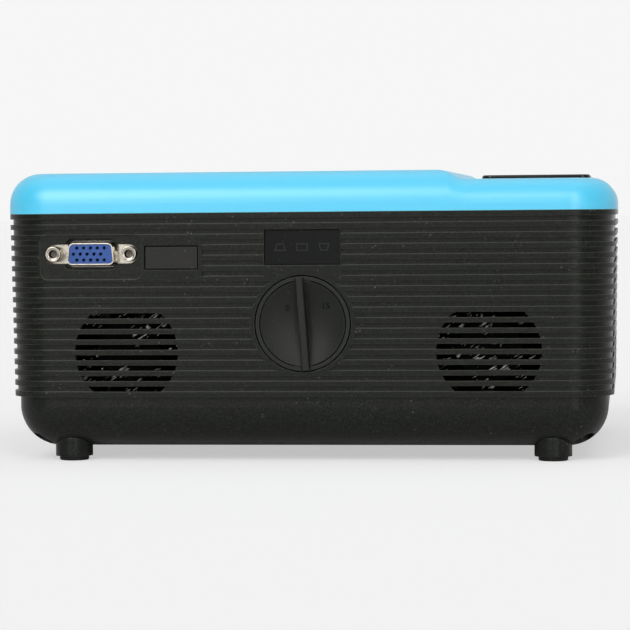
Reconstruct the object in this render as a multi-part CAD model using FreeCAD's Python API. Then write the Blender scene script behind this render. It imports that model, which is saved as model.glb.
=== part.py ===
"""Mini projector with a built-in disc player: a ribbed tub, a stepped top cover with a
round disc lid, and the light engine, disc mechanism, fans and boards that they hold.

Millimetres. +Z is up and Z = 0 is the plane of the feet. The connectors and the keystone
dial face -Y, the lens faces +Y, and X = 0, Y = 0 is the middle of the case.
"""
import FreeCAD
import Part
import math
import os

V = FreeCAD.Vector
AXES = {"x": V(1, 0, 0), "y": V(0, 1, 0), "z": V(0, 0, 1)}

# ---------------------------------------------------------------- driving dimensions
# Clearances that every fit below is worked out from
RUNNING = 0.05          # radial, a shaft in its bearing
SLIDING = 0.3           # around a piece that travels in an opening
SEAT = 0.1              # around a piece that is held still
TINY = 0.02             # lets a cutter pass a face

# Across the top: lid, step and control strip, which set the case's width and depth
DISC_RADIUS = 60.0
DISC_CLEARANCE = 1.5
LID_OVERLAP = 2.5
LID_TO_SIDE = 11.0
LID_TO_WALL = 15.0      # mean of the lid's distances from the back and from the front
LID_TO_STEP = 4.5
STEP_RUN = 10.5
STEP_TO_STRIP = 4.0
KEY_LONG = 5.0          # half sizes of the keys
KEY_SHORT = 2.6
KEY_STEP = 10.5         # from the middle key to the four round it
STRIP_MARGIN = 4.65
STRIP_TO_SIDE = 8.5
WELL_INNER_RADIUS = DISC_RADIUS + DISC_CLEARANCE
LID_RADIUS = WELL_INNER_RADIUS + LID_OVERLAP
STRIP_WIDTH = 2 * (KEY_STEP + KEY_SHORT + STRIP_MARGIN)
CASE_WIDTH = (LID_TO_SIDE + 2 * LID_RADIUS + LID_TO_STEP + STEP_RUN + STEP_TO_STRIP
              + STRIP_WIDTH + STRIP_TO_SIDE)
CASE_DEPTH = 2 * (LID_RADIUS + LID_TO_WALL)
DISC_X = -CASE_WIDTH / 2 + LID_TO_SIDE + LID_RADIUS
DISC_Y = -3.0
STEP_X = DISC_X + LID_RADIUS + LID_TO_STEP
STRIP_LEFT_X = STEP_X + STEP_RUN + STEP_TO_STRIP
STRIP_RIGHT_X = STRIP_LEFT_X + STRIP_WIDTH

# Upwards: light engine, disc mechanism, disc well and cover, which set the case's height
AXIS_Z = 44.0
SCREEN_WIDTH = 60.0
SCREEN_HEIGHT = 40.0
SCREEN_TO_ENGINE = 3.0
ENGINE_HALF_HEIGHT = SCREEN_HEIGHT / 2 + SCREEN_TO_ENGINE
ENGINE_TO_CHASSIS = 4.0
CHASSIS_HEIGHT = 8.9
DAMPER_HEIGHT = 2.5
WELL_FLOOR = 1.6
WELL_DEPTH = 11.7
COVER_HEIGHT = 13.4
STEP_HEIGHT = 3.1
CHASSIS_BOTTOM_Z = AXIS_Z + ENGINE_HALF_HEIGHT + ENGINE_TO_CHASSIS
CHASSIS_TOP_Z = CHASSIS_BOTTOM_Z + CHASSIS_HEIGHT
WELL_FLOOR_Z = CHASSIS_TOP_Z + DAMPER_HEIGHT + WELL_FLOOR
PLATEAU_Z = WELL_FLOOR_Z + WELL_DEPTH
DECK_Z = PLATEAU_Z - STEP_HEIGHT
PARTING_Z = PLATEAU_Z - COVER_HEIGHT

# Case
CORNER_RADIUS = 16.0
DRAFT = 1.0             # the ribbed band narrows this much per side towards its foot
BAND_WALL = 2.6
TUB_INSET = 1.8
TUB_BOTTOM_Z = 4.8
TUB_WALL = 2.2
TUB_EDGE_RADIUS = 13.5
PROUD = 1.0             # dial grip and focus ring stand this far out of the case

# Horizontal grooves between the ribs
GROOVE_COUNT = 17
GROOVE_PITCH = 3.45
GROOVE_HEIGHT = 1.75
GROOVE_DEPTH = 1.0
TOP_RIB = 1.8
LOW_RIB = 1.85
BAND_BOTTOM_Z = PARTING_Z - TOP_RIB - (GROOVE_COUNT - 1) * GROOVE_PITCH - GROOVE_HEIGHT - LOW_RIB

# Cover
COVER_EDGE_RADIUS = 8.0
PLATEAU_ROUNDING = 2.3  # the plateau's rim is this much rounder than the deck's
COVER_WALL = 2.5
LIP_HEIGHT = 1.5
LIP_THICKNESS = 1.0

# Columns, screws and feet
COLUMN_X = CASE_WIDTH / 2 - 11.0
COLUMN_Y = CASE_DEPTH / 2 - 12.0
COLUMN_RADIUS = 4.3
COLUMN_TOP_Z = 58.0
WELL_RADIUS = 3.25
SCREW_SEAT = 3.0
SCREW_HEAD_RADIUS = 2.7
SCREW_HEAD_HEIGHT = 1.8
SCREW_RADIUS = 1.5
SCREW_LENGTH = 14.0
POST_RADIUS = 3.6
FOOT_X = CASE_WIDTH / 2 - 21.0
FOOT_Y = CASE_DEPTH / 2 - 14.0
FOOT_COLLAR_RADIUS = 6.2
FOOT_COLLAR_RISE = 3.5   # the collar reaches this far up the tub's rounded edge
FOOT_PAD_RADIUS = 4.9
FOOT_PAD_HEIGHT = 1.5
TRIPOD_THREAD_RADIUS = 3.175
TRIPOD_INSERT_RADIUS = 5.0
TRIPOD_INSERT_LENGTH = 9.0
TRIPOD_BOSS_WALL = 1.8

# Analogue video socket on the back
VIDEO_X = -CASE_WIDTH / 2 + 30.0
VIDEO_Z = PARTING_Z - 13.3
VIDEO_POCKET_WIDTH = 34.0
VIDEO_POCKET_HEIGHT = 14.6
VIDEO_POCKET_DROP = 1.1     # the pocket's middle lies this far under the socket's
VIDEO_POCKET_DEPTH = 0.6
VIDEO_RECESS_DEPTH = 2.6
VIDEO_RECESS_GAP = 1.15
VIDEO_LIP_GAP = 0.2
VIDEO_FLANGE_Y = -CASE_DEPTH / 2 + 5.2
VIDEO_FLANGE_WIDTH = 30.8
VIDEO_FLANGE_HEIGHT = 12.5
VIDEO_FLANGE_THICKNESS = 0.8
VIDEO_INSERT_TOP = 14.4
VIDEO_INSERT_BOTTOM = 15.9
VIDEO_INSERT_HEIGHT = 7.3
VIDEO_SHELL_WALL = 0.45
VIDEO_SHELL_REACH = 5.4
VIDEO_BODY_DEPTH = 8.5
VIDEO_BODY_WIDTH = 27.4
JACKSCREW_SPACING = 24.99
JACKSCREW_FLATS = 4.8
JACKSCREW_LENGTH = 5.2
JACKSCREW_BORE = 1.42
CONTACT_PITCH = 2.29
CONTACT_ROW = 1.98
CONTACT_RADIUS = 0.55
CONTACT_DEPTH = 5.0

# Infra-red windows, label plate, flush zones without grooves
IR_WIDTH = 17.8
IR_HEIGHT = 7.8
IR_X = VIDEO_X + 26.8
IR_Z = VIDEO_Z - 1.35
IR_THICKNESS = 1.4
IR_SINK = 0.35
FLUSH_LEFT_X = VIDEO_X - 17.8
FLUSH_RIGHT_X = IR_X + 10.2
PLATE_X = -1.0
PLATE_Z = PARTING_Z - 11.5
PLATE_WIDTH = 25.3
PLATE_HEIGHT = 11.5
PLATE_SINK = 0.7
PLATE_THICKNESS = 0.8

# Keystone dial and its shaft
DIAL_X = -1.0
DIAL_Z = PARTING_Z - 36.5
DIAL_RADIUS = 15.5
DIAL_GAP = 0.45
BEZEL_RADIUS = 17.3
DIAL_DEPTH = 6.0
DIAL_RIM = 1.4
DIAL_BOWL_DEPTH = 3.6
DIAL_LINE = 0.35
GRIP_WIDTH = 2.7
GRIP_TILT = 4.0
DIAL_SHAFT_RADIUS = 3.0
DIAL_FLANGE_RADIUS = 17.6
CAM_RADIUS = 7.0
CAM_THICKNESS = 2.4

# Cooling fans
FAN_X = CASE_WIDTH / 2 - 41.3
FAN_Z = PARTING_Z - 45.8
FAN_SIZE = 40.0
FAN_DEPTH = 10.0
FAN_BORE_RADIUS = 19.0
FAN_HUB_RADIUS = 11.0
FAN_BLADES = 7
FAN_BLADE_THICKNESS = 0.9
FAN_BLADE_CHORD = 10.5
FAN_BLADE_PITCH = 38.0
FAN_TIP_GAP = 0.5
FAN_FRONT_GAP = 0.5
FAN_SPIDER = 2.0
FAN_SCREW_SPACING = 32.0
FAN_SHAFT_RADIUS = 1.0
VENT_RADIUS = 17.2
VENT_GROOVES = 8

# Light engine: light runs along +X, turns at the mirror and leaves along +Y
AXIS_X = 25.0
AXIS_Y = 0.0
ENGINE_WALL = 1.8
ENGINE_LEFT_X = -56.0
ENGINE_RIGHT_X = 56.0
ENGINE_HALF_DEPTH = SCREEN_WIDTH / 2 + SCREEN_TO_ENGINE
LED_BOARD = 28.0
LED_BOARD_THICKNESS = 1.6
LED_EMITTER = 9.0
HEATSINK_LENGTH = 30.0
HEATSINK_WIDTH = 56.0
HEATSINK_HEIGHT = 40.0
HEATSINK_BASE = 5.0
HEATSINK_FINS = 11
HEATSINK_FIN = 1.2
CONDENSER_X = -44.0
CONDENSER_RADIUS = 16.0
CONDENSER_EDGE = 2.0
CONDENSER_DOME = 8.0
FRESNEL_XS = (-27.0, -11.0)
LCD_X = -19.0
FRESNEL_THICKNESS = 2.0
LCD_THICKNESS = 3.0
LCD_WINDOW_WIDTH = 52.0
LCD_WINDOW_HEIGHT = 31.0
RAIL = 1.5
MIRROR_WIDTH = 54.0
MIRROR_HEIGHT = 36.0
MIRROR_THICKNESS = 2.0
CARRIER_THICKNESS = 2.4
CARRIER_PIVOT_RADIUS = 1.5
CARRIER_PIVOT_LENGTH = 3.0
PIVOT_BLOCK_LENGTH = 6.0

# Projection lens
LENS_TUBE_RADIUS = 16.4
LENS_TUBE_WALL = 1.6
LENS_TUBE_END_Y = CASE_DEPTH / 2 - 8.0
LENS_FLANGE_RADIUS = 22.0
LENS_FLANGE_THICKNESS = 3.0
BARREL_WALL = 2.2
BARREL_FRONT_Y = LENS_TUBE_END_Y - 1.0
BARREL_BACK_Y = BARREL_FRONT_Y - 30.0
BARREL_TRAVEL = 6.0
GLASS_CENTRE = 5.0
GLASS_EDGE = 2.4
FOCUS_RING_WALL = 2.2
FOCUS_RING_BACK_Y = CASE_DEPTH / 2 - 17.0
FOCUS_RIBS = 36
FOCUS_RIB_RADIUS = 0.6
FOCUS_FRONT_RADIUS = 14.5
LENS_BEZEL_RADIUS = 21.3
LENS_BEZEL_FLARE = 1.0
LENS_BEZEL_WALL = 0.9
LENS_BEZEL_DEPTH = 9.0
LENS_BEZEL_FACE = 1.0

# Disc well, lid and hinge
LID_GAP = 0.4
LID_BACK_GAP = 0.5      # the opening is wider behind, where the lid's edge swings back
LID_THICKNESS = 2.2
WELL_WALL = 2.0
FLANGE_THICKNESS = 1.5
FLANGE_RADIUS = LID_RADIUS + 2.3
HINGE_Y = DISC_Y - LID_RADIUS + 5.0
HINGE_RADIUS = 2.5
HINGE_DROP = 0.1
HINGE_HALF = 30.5
HINGE_EAR = 2.6
HINGE_PIN_RADIUS = 1.0
HINGE_PIN_GRIP = 5.0
LUG_REACH = WELL_INNER_RADIUS + 10.5
LUG_RADIUS = 4.2
LUG_THICKNESS = 1.8
LUG_SCREW_RADIUS = 1.0
LUG_SCREW_LENGTH = 5.5
LUG_HEAD_RADIUS = 1.9
LUG_HEAD_HEIGHT = 1.3
LATCH_Y = DISC_Y + LID_RADIUS + 5.6
LATCH_WIDTH = 20.0
LATCH_LENGTH = 5.6
LATCH_TRAVEL = 1.2
HOOK_DROP = 2.0
HOOK_THICKNESS = 1.4
TONGUE_WIDTH = 8.0
TONGUE_LENGTH = 4.5
TONGUE_THICKNESS = 1.4

# Disc mechanism
SLED_START_R = 24.0
SLED_TRAVEL = DISC_RADIUS - SLED_START_R - 4.0
SLED_BACK = 9.5
SLED_FRONT = 14.0
CHASSIS_HALF = 33.0
CHASSIS_WALL = 4.0
CHASSIS_LEFT_X = DISC_X - 22.0
CHASSIS_RIGHT_X = DISC_X + SLED_START_R + SLED_TRAVEL + SLED_FRONT + 2.0 + CHASSIS_WALL
CHASSIS_PLATE = 1.4
BRIDGE_END_X = DISC_X + 14.0
DAMPER_RADIUS = 4.4
DAMPER_XS = (DISC_X - 14.0, DISC_X + 46.0)
DAMPER_REACH = 37.0
PEG_RADIUS = 1.5
SPINDLE_MOTOR_RADIUS = 12.0
SPINDLE_MOTOR_HEIGHT = 6.0
SPINDLE_RADIUS = 0.75
TURNTABLE_RADIUS = 15.0
TURNTABLE_Z = WELL_FLOOR_Z + 1.6
TURNTABLE_THICKNESS = 1.6
DISC_BORE_RADIUS = 7.5
HUB_HEIGHT = 3.2
SLED_HALF = 15.0
SLED_BOTTOM_Z = CHASSIS_BOTTOM_Z + 1.6
SLED_TOP_Z = CHASSIS_TOP_Z - 1.1
ROD_Z = CHASSIS_BOTTOM_Z + 4.6
ROD_SPACING = 24.0
ROD_RADIUS = 1.5
OBJECTIVE_RADIUS = 3.5
OBJECTIVE_TOP_Z = WELL_FLOOR_Z + 1.3
GEAR_MODULE = 0.8
GEAR_TEETH = 12
GEAR_X = DISC_X + 32.0
GEAR_BOTTOM_Z = CHASSIS_BOTTOM_Z + 2.4
GEAR_WIDTH = 3.0
GEAR_BACKLASH = 0.12
RACK_ADDENDUM = 0.55
GEAR_ADDENDUM = 0.65
DEDENDUM = 0.95
PRESSURE_ANGLE = 20.0
SLED_MOTOR_RADIUS = 6.0
SLED_MOTOR_HEIGHT = 3.2
SHELF_THICKNESS = 1.2

# Control strip and keys
STRIP_BACK_Y = -CASE_DEPTH / 2 + 15.0
STRIP_FRONT_Y = CASE_DEPTH / 2 - 35.0
STRIP_HEIGHT = 1.2
STRIP_CORNER = 3.0
STRIP_WINDOW_MARGIN = 3.2
KEY_TRAVEL = 0.8
KEY_PROUD = 0.15
KEY_GAP = 0.25
KEY_FLANGE = 0.8
KEY_FLANGE_THICKNESS = 0.8
KEY_CORNER = 1.6
KEY_BOARD_Z = DECK_Z - 6.4
KEY_BOARD_INSET = 14.0
BOARD_THICKNESS = 1.6
SWITCH_SIZE = 5.0
SWITCH_PLUNGER_RADIUS = 1.6

# Boards and side connectors
BOARD_Z = VIDEO_Z - 8.2
BOARD_LEFT_X = -CASE_WIDTH / 2 + 17.0
BOARD_RIGHT_X = 48.0
BOARD_BACK_Y = -CASE_DEPTH / 2 + 7.0
BOARD_FRONT_Y = -35.5
SIDE_BOARD_Z = BOARD_Z + 3.4
SIDE_BOARD_BACK_Y = -34.0
SIDE_BOARD_FRONT_Y = 34.0
SIDE_BOARD_DEPTH = 19.0
SIDE_FLUSH_BACK_Y = -36.0
SIDE_FLUSH_FRONT_Y = 36.0
HDMI_Y = -20.0
HDMI_WIDTH = 15.0
HDMI_HEIGHT = 6.0
HDMI_DEPTH = 12.0
USB_Y = 3.0
USB_WIDTH = 14.4
USB_HEIGHT = 5.9
USB_DEPTH = 14.0
JACK_YS = (17.5, 27.5)
JACK_SIZE = 8.0
JACK_DEPTH = 12.0
JACK_NOSE_RADIUS = 3.2
JACK_BORE_RADIUS = 1.78
JACK_BORE_LENGTH = 11.0
POWER_BOARD_Z = 14.0
POWER_LEFT_X = ENGINE_RIGHT_X + 4.0
POWER_RIGHT_X = CASE_WIDTH / 2 - 8.0
POWER_BACK_Y = -20.0
POWER_FRONT_Y = 36.0
INLET_Y = 4.0
INLET_Z = 32.0
INLET_WIDTH = 23.0
INLET_HEIGHT = 13.0
INLET_DEPTH = 17.0
INLET_POCKET_WIDTH = 18.0
INLET_POCKET_HEIGHT = 9.0
INLET_POCKET_DEPTH = 13.0
INLET_PIN_SPACING = 8.6
INLET_PIN_RADIUS = 1.2
INLET_PIN_LENGTH = 9.0

# Speakers behind the front
SPEAKER_XS = (-CASE_WIDTH / 2 + 37.0, CASE_WIDTH / 2 - 35.0)
SPEAKER_Z = 48.5
SPEAKER_RADIUS = 14.0
SPEAKER_DEPTH = 13.0
GRILLE_GROOVES = 6
GRILLE_RADIUS = 11.5


# ---------------------------------------------------------------- building blocks
def box(x0, x1, y0, y1, z0, z1):
    return Part.makeBox(x1 - x0, y1 - y0, z1 - z0, V(x0, y0, z0))


def rod(axis, radius, start, length, a, b):
    """Cylinder along an axis from start; a and b are its place on the other two axes."""
    place = {"x": V(start, a, b), "y": V(a, start, b), "z": V(a, b, start)}[axis]
    return Part.makeCylinder(radius, length, place, AXES[axis])


def tube(axis, outer, inner, start, length, a, b):
    bore = rod(axis, inner, start - 1, length + 2, a, b)
    return rod(axis, outer, start, length, a, b).cut(bore)


def group(shapes):
    """Separate solids that share one node."""
    return Part.makeCompound([solid for shape in shapes for solid in shape.Solids])


def fuse(shapes):
    first, rest = shapes[0], shapes[1:]
    return first.fuse(rest).removeSplitter() if rest else first


def at(axis, u, v, along):
    """The point with in-plane coordinates u, v at a place along the axis."""
    return {"x": V(along, u, v), "y": V(u, along, v), "z": V(u, v, along)}[axis]


def prism(axis, points, radius, start, length):
    """Polygon with every corner rounded, extruded along an axis."""
    corners = [V(u, v, 0) for u, v in points]
    edges = []
    ends = []
    for index, corner in enumerate(corners):
        back = (corners[index - 1] - corner).normalize()
        ahead = (corners[(index + 1) % len(corners)] - corner).normalize()
        half = back.getAngle(ahead) / 2
        reach = radius / math.tan(half)
        bisector = (back + ahead).normalize()
        middle = corner + bisector * (radius / math.sin(half) - radius)
        ends.append((corner + back * reach, middle, corner + ahead * reach))
    for index, (first, middle, last) in enumerate(ends):
        following = ends[(index + 1) % len(ends)][0]
        first, middle, last, following = (
            at(axis, p.x, p.y, start) for p in (first, middle, last, following)
        )
        edges.append(Part.Arc(first, middle, last).toShape())
        if (following - last).Length > TINY:
            edges.append(Part.makeLine(last, following))
    return Part.Face(Part.Wire(edges)).extrude(AXES[axis] * length)


def plate(axis, u0, u1, v0, v1, radius, start, length):
    return prism(axis, [(u0, v0), (u1, v0), (u1, v1), (u0, v1)], radius, start, length)


def hexagon(axis, flats, start, length, a, b):
    radius = flats / math.sqrt(3)
    points = [
        at(axis, a + radius * math.cos(math.pi * k / 3), b + radius * math.sin(math.pi * k / 3), start)
        for k in range(6)
    ]
    return Part.Face(Part.makePolygon(points + points[:1])).extrude(AXES[axis] * length)


def turned(axis, outline, a, b):
    """Closed outline of (radius, along) points, turned about an axis."""
    side = AXES["y"] if axis == "x" else AXES["x"]
    points = [at(axis, a, b, along) + side * radius for radius, along in outline]
    face = Part.Face(Part.makePolygon(points + points[:1]))
    return face.revolve(at(axis, a, b, 0), AXES[axis], 360)


def case_wire(inset, z):
    """Rounded rectangle of the case, moved in by inset, at height z."""
    half_w = CASE_WIDTH / 2 - inset
    half_d = CASE_DEPTH / 2 - inset
    r = CORNER_RADIUS - inset
    k = r * (1 - math.sqrt(0.5))
    quarter = [(half_w - r, -half_d), (half_w - k, -half_d + k), (half_w, -half_d + r)]
    points = quarter
    points = points + [(x, -y) for x, y in reversed(quarter)]
    points = points + [(-x, y) for x, y in reversed(points)]
    points = [V(x, y, z) for x, y in points]
    edges = []
    for i in range(0, 12, 3):
        edges.append(Part.Arc(points[i], points[i + 1], points[i + 2]).toShape())
        edges.append(Part.makeLine(points[i + 2], points[(i + 3) % 12]))
    return Part.Wire(edges)


def case_block(inset, z0, z1):
    return Part.Face(case_wire(inset, z0)).extrude(V(0, 0, z1 - z0))


def band_inset(z):
    """How far the drafted outside of the ribbed band has moved in at height z."""
    return DRAFT * (PARTING_Z - z) / (PARTING_Z - BAND_BOTTOM_Z)


def groove_top(index):
    return PARTING_Z - TOP_RIB - index * GROOVE_PITCH


def back_y(z):
    """Y of the outside of the back wall at height z; the front wall is at minus this."""
    return -CASE_DEPTH / 2 + band_inset(z)


# ---------------------------------------------------------------- places worked out
TUB_TOTAL_INSET = DRAFT + TUB_INSET
INNER_BACK_Y = -CASE_DEPTH / 2 + DRAFT + BAND_WALL
LID_TOP_Z = PLATEAU_Z
LID_BOTTOM_Z = LID_TOP_Z - LID_THICKNESS
ROOF_Z = PLATEAU_Z - COVER_WALL
DECK_ROOF_Z = DECK_Z - COVER_WALL
HINGE_Z = LID_TOP_Z - HINGE_RADIUS - HINGE_DROP
HINGE_SWEEP = HINGE_RADIUS + LID_GAP
CHASSIS_BACK_Y = DISC_Y - CHASSIS_HALF
CHASSIS_FRONT_Y = DISC_Y + CHASSIS_HALF
OBJECTIVE_X = DISC_X + SLED_START_R
SLED_FRONT_Y = DISC_Y + SLED_HALF
SLED_BACK_Y = DISC_Y - SLED_HALF
ROD_YS = (DISC_Y - ROD_SPACING / 2, DISC_Y + ROD_SPACING / 2)
PITCH_RADIUS = GEAR_MODULE * GEAR_TEETH / 2
RACK_PITCH_Y = SLED_FRONT_Y + 0.6 + DEDENDUM
GEAR_Y = RACK_PITCH_Y + PITCH_RADIUS
BOARD_TOP_Z = BOARD_Z + BOARD_THICKNESS
SIDE_BOARD_TOP_Z = SIDE_BOARD_Z + BOARD_THICKNESS
FAN_BACK_Y = -CASE_DEPTH / 2 + TUB_TOTAL_INSET + TUB_WALL + SLIDING
ENGINE_BOTTOM_Z = AXIS_Z - ENGINE_HALF_HEIGHT
ENGINE_TOP_Z = AXIS_Z + ENGINE_HALF_HEIGHT
LENS_BORE_RADIUS = LENS_TUBE_RADIUS - LENS_TUBE_WALL
BARREL_RADIUS = LENS_BORE_RADIUS - RUNNING
FOCUS_INNER_RADIUS = LENS_TUBE_RADIUS + SLIDING
FOCUS_OUTER_RADIUS = FOCUS_INNER_RADIUS + FOCUS_RING_WALL - FOCUS_RIB_RADIUS
FOCUS_FRONT_Y = CASE_DEPTH / 2 + PROUD
LENS_SEAT_Y = CASE_DEPTH / 2 - band_inset(AXIS_Z - LENS_BEZEL_RADIUS - LENS_BEZEL_FLARE)
STRIP_TOP_Z = DECK_Z + STRIP_HEIGHT
STRIP_X = (STRIP_LEFT_X + STRIP_RIGHT_X) / 2
STRIP_Y = (STRIP_BACK_Y + STRIP_FRONT_Y) / 2
KEY_FLANGE_TOP_Z = DECK_Z - SEAT
KEY_FLANGE_BOTTOM_Z = KEY_FLANGE_TOP_Z - KEY_FLANGE_THICKNESS
PLUNGER_TOP_Z = KEY_FLANGE_BOTTOM_Z - KEY_TRAVEL - KEY_GAP + 0.2
KEY_BOARD_TOP_Z = KEY_BOARD_Z + BOARD_THICKNESS
SIDE_INNER_X = -CASE_WIDTH / 2 + DRAFT + BAND_WALL
SIDE_OUTER_X = -CASE_WIDTH / 2 + band_inset(SIDE_BOARD_TOP_Z)
KEYS = {
    "key_power": (0.0, 34.0, KEY_LONG + 1, KEY_LONG + 1),
    "key_source": (0.0, 16.0, KEY_LONG, KEY_LONG),
    "key_ok": (0.0, -12.0, KEY_LONG, KEY_LONG),
    "key_up": (0.0, -12.0 + KEY_STEP, KEY_LONG, KEY_SHORT),
    "key_down": (0.0, -12.0 - KEY_STEP, KEY_LONG, KEY_SHORT),
    "key_left": (-KEY_STEP, -12.0, KEY_SHORT, KEY_LONG),
    "key_right": (KEY_STEP, -12.0, KEY_SHORT, KEY_LONG),
}


# ---------------------------------------------------------------- case
def tub_block(inset, bottom_z, edge_radius):
    block = case_block(inset, bottom_z, BAND_BOTTOM_Z + TINY)
    rim = [e for e in block.Edges if e.BoundBox.ZMax < bottom_z + TINY]
    return block.makeFillet(min(edge_radius, BAND_BOTTOM_Z - bottom_z - 1), rim)


def band_block(inset, top_z):
    low = case_wire(DRAFT + inset, BAND_BOTTOM_Z)
    high = case_wire(inset + band_inset(top_z), top_z)
    return Part.makeLoft([low, high], True, True)


def groove_rings():
    rings = []
    for index in range(GROOVE_COUNT):
        high = groove_top(index)
        low = high - GROOVE_HEIGHT
        inner = case_block(band_inset(high) + GROOVE_DEPTH, low, high)
        rings.append(case_block(-5, low, high).cut(inner))
    return Part.makeCompound(rings)


def flush_zones():
    """Where the ribbed band is smooth: round the sockets, the dial, the lens and the label."""
    out = CASE_DEPTH
    back = -CASE_DEPTH / 2 + band_inset(BAND_BOTTOM_Z) + BAND_WALL
    top, low = groove_top(2) + TINY, groove_top(5) - GROOVE_HEIGHT - TINY
    label_top = groove_top(1) + TINY
    label_half = PLATE_WIDTH / 2
    zones = [
        plate("y", FLUSH_LEFT_X, FLUSH_RIGHT_X, low, top, GROOVE_HEIGHT / 2, -out, out + back),
        box(PLATE_X - label_half, PLATE_X + label_half, -out, back, DIAL_Z + DIAL_RADIUS, label_top),
        rod("y", BEZEL_RADIUS, -out, out + back, DIAL_X, DIAL_Z),
        rod("y", LENS_BEZEL_RADIUS + LENS_BEZEL_FLARE, -back, out, AXIS_X, AXIS_Z),
        plate("y", -IR_WIDTH / 2 - 3, IR_WIDTH / 2 + 3, low, top, GROOVE_HEIGHT / 2, -back, out)
        .translated(V(IR_X, 0, 0)),
        plate("x", SIDE_FLUSH_BACK_Y, SIDE_FLUSH_FRONT_Y, groove_top(4) - GROOVE_HEIGHT - TINY,
              groove_top(1) + TINY, GROOVE_HEIGHT / 2, -CASE_WIDTH, CASE_WIDTH / 2 + 6),
        plate("x", INLET_Y - INLET_WIDTH / 2 - 3, INLET_Y + INLET_WIDTH / 2 + 3,
              INLET_Z - INLET_HEIGHT / 2 - 2, INLET_Z + INLET_HEIGHT / 2 + 2, 2.0,
              CASE_WIDTH / 2 - 6, 12),
    ]
    return Part.makeCompound(zones)


def vent_cutter(x, z, radius, first, count, front=False):
    """The grooves from first on, cut through the wall inside a round outline."""
    reach = BAND_WALL + DRAFT + 4
    start = CASE_DEPTH / 2 - reach if front else -CASE_DEPTH / 2 - 1
    round_vent = rod("y", radius, start, reach + 1, x, z)
    slots = [
        box(x - radius, x + radius, start, start + reach + 1,
            groove_top(index) - GROOVE_HEIGHT, groove_top(index))
        for index in range(first, first + count)
    ]
    return round_vent.common(Part.makeCompound(slots))


def corners(x, y):
    return [(-x, -y), (x, -y), (-x, y), (x, y)]


def video_pocket(depth_y):
    middle = VIDEO_Z - VIDEO_POCKET_DROP
    half_w, half_h = VIDEO_POCKET_WIDTH / 2, VIDEO_POCKET_HEIGHT / 2
    return plate("y", VIDEO_X - half_w, VIDEO_X + half_w, middle - half_h, middle + half_h, 2.4,
                 -CASE_DEPTH / 2 - 1, depth_y + CASE_DEPTH / 2 + 1)


def video_opening():
    """Recess round the socket's shell, whose lip closes on it, and a deep lobe per jackscrew."""
    start = -CASE_DEPTH / 2 - 1
    length = VIDEO_FLANGE_Y + 1 - start
    grow = VIDEO_SHELL_WALL + VIDEO_RECESS_GAP
    floor_y = back_y(VIDEO_Z) + VIDEO_POCKET_DEPTH + VIDEO_RECESS_DEPTH
    shapes = [
        trapezoid(grow, start, floor_y - start, 1.9 + VIDEO_RECESS_GAP),
        trapezoid(VIDEO_SHELL_WALL + VIDEO_LIP_GAP, start, length, 1.9 + VIDEO_LIP_GAP),
    ]
    lobe = JACKSCREW_FLATS / 2 + 0.75
    for side in (-1, 1):
        x = VIDEO_X + side * JACKSCREW_SPACING / 2
        shapes.append(rod("y", lobe, start, length, x, VIDEO_Z))
        inner = VIDEO_X + side * (VIDEO_INSERT_BOTTOM / 2 + VIDEO_LIP_GAP)
        shapes.append(box(min(x, inner), max(x, inner), start, start + length,
                          VIDEO_Z - lobe, VIDEO_Z + lobe))
    return fuse(shapes)


def side_openings(margin):
    """Cutters for the sockets along the -X side."""
    x = -CASE_WIDTH / 2 - 1
    length = BAND_WALL + DRAFT + 3
    z = SIDE_BOARD_TOP_Z
    cutters = []
    for y, width, height in ((HDMI_Y, HDMI_WIDTH, HDMI_HEIGHT), (USB_Y, USB_WIDTH, USB_HEIGHT)):
        cutters.append(plate("x", y - width / 2 - margin, y + width / 2 + margin,
                             z - margin, z + height + margin, 0.8, x, length))
    for y in JACK_YS:
        cutters.append(rod("x", JACK_NOSE_RADIUS + margin, x, length, y, z + JACK_SIZE / 2))
    return Part.makeCompound(cutters)


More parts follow.
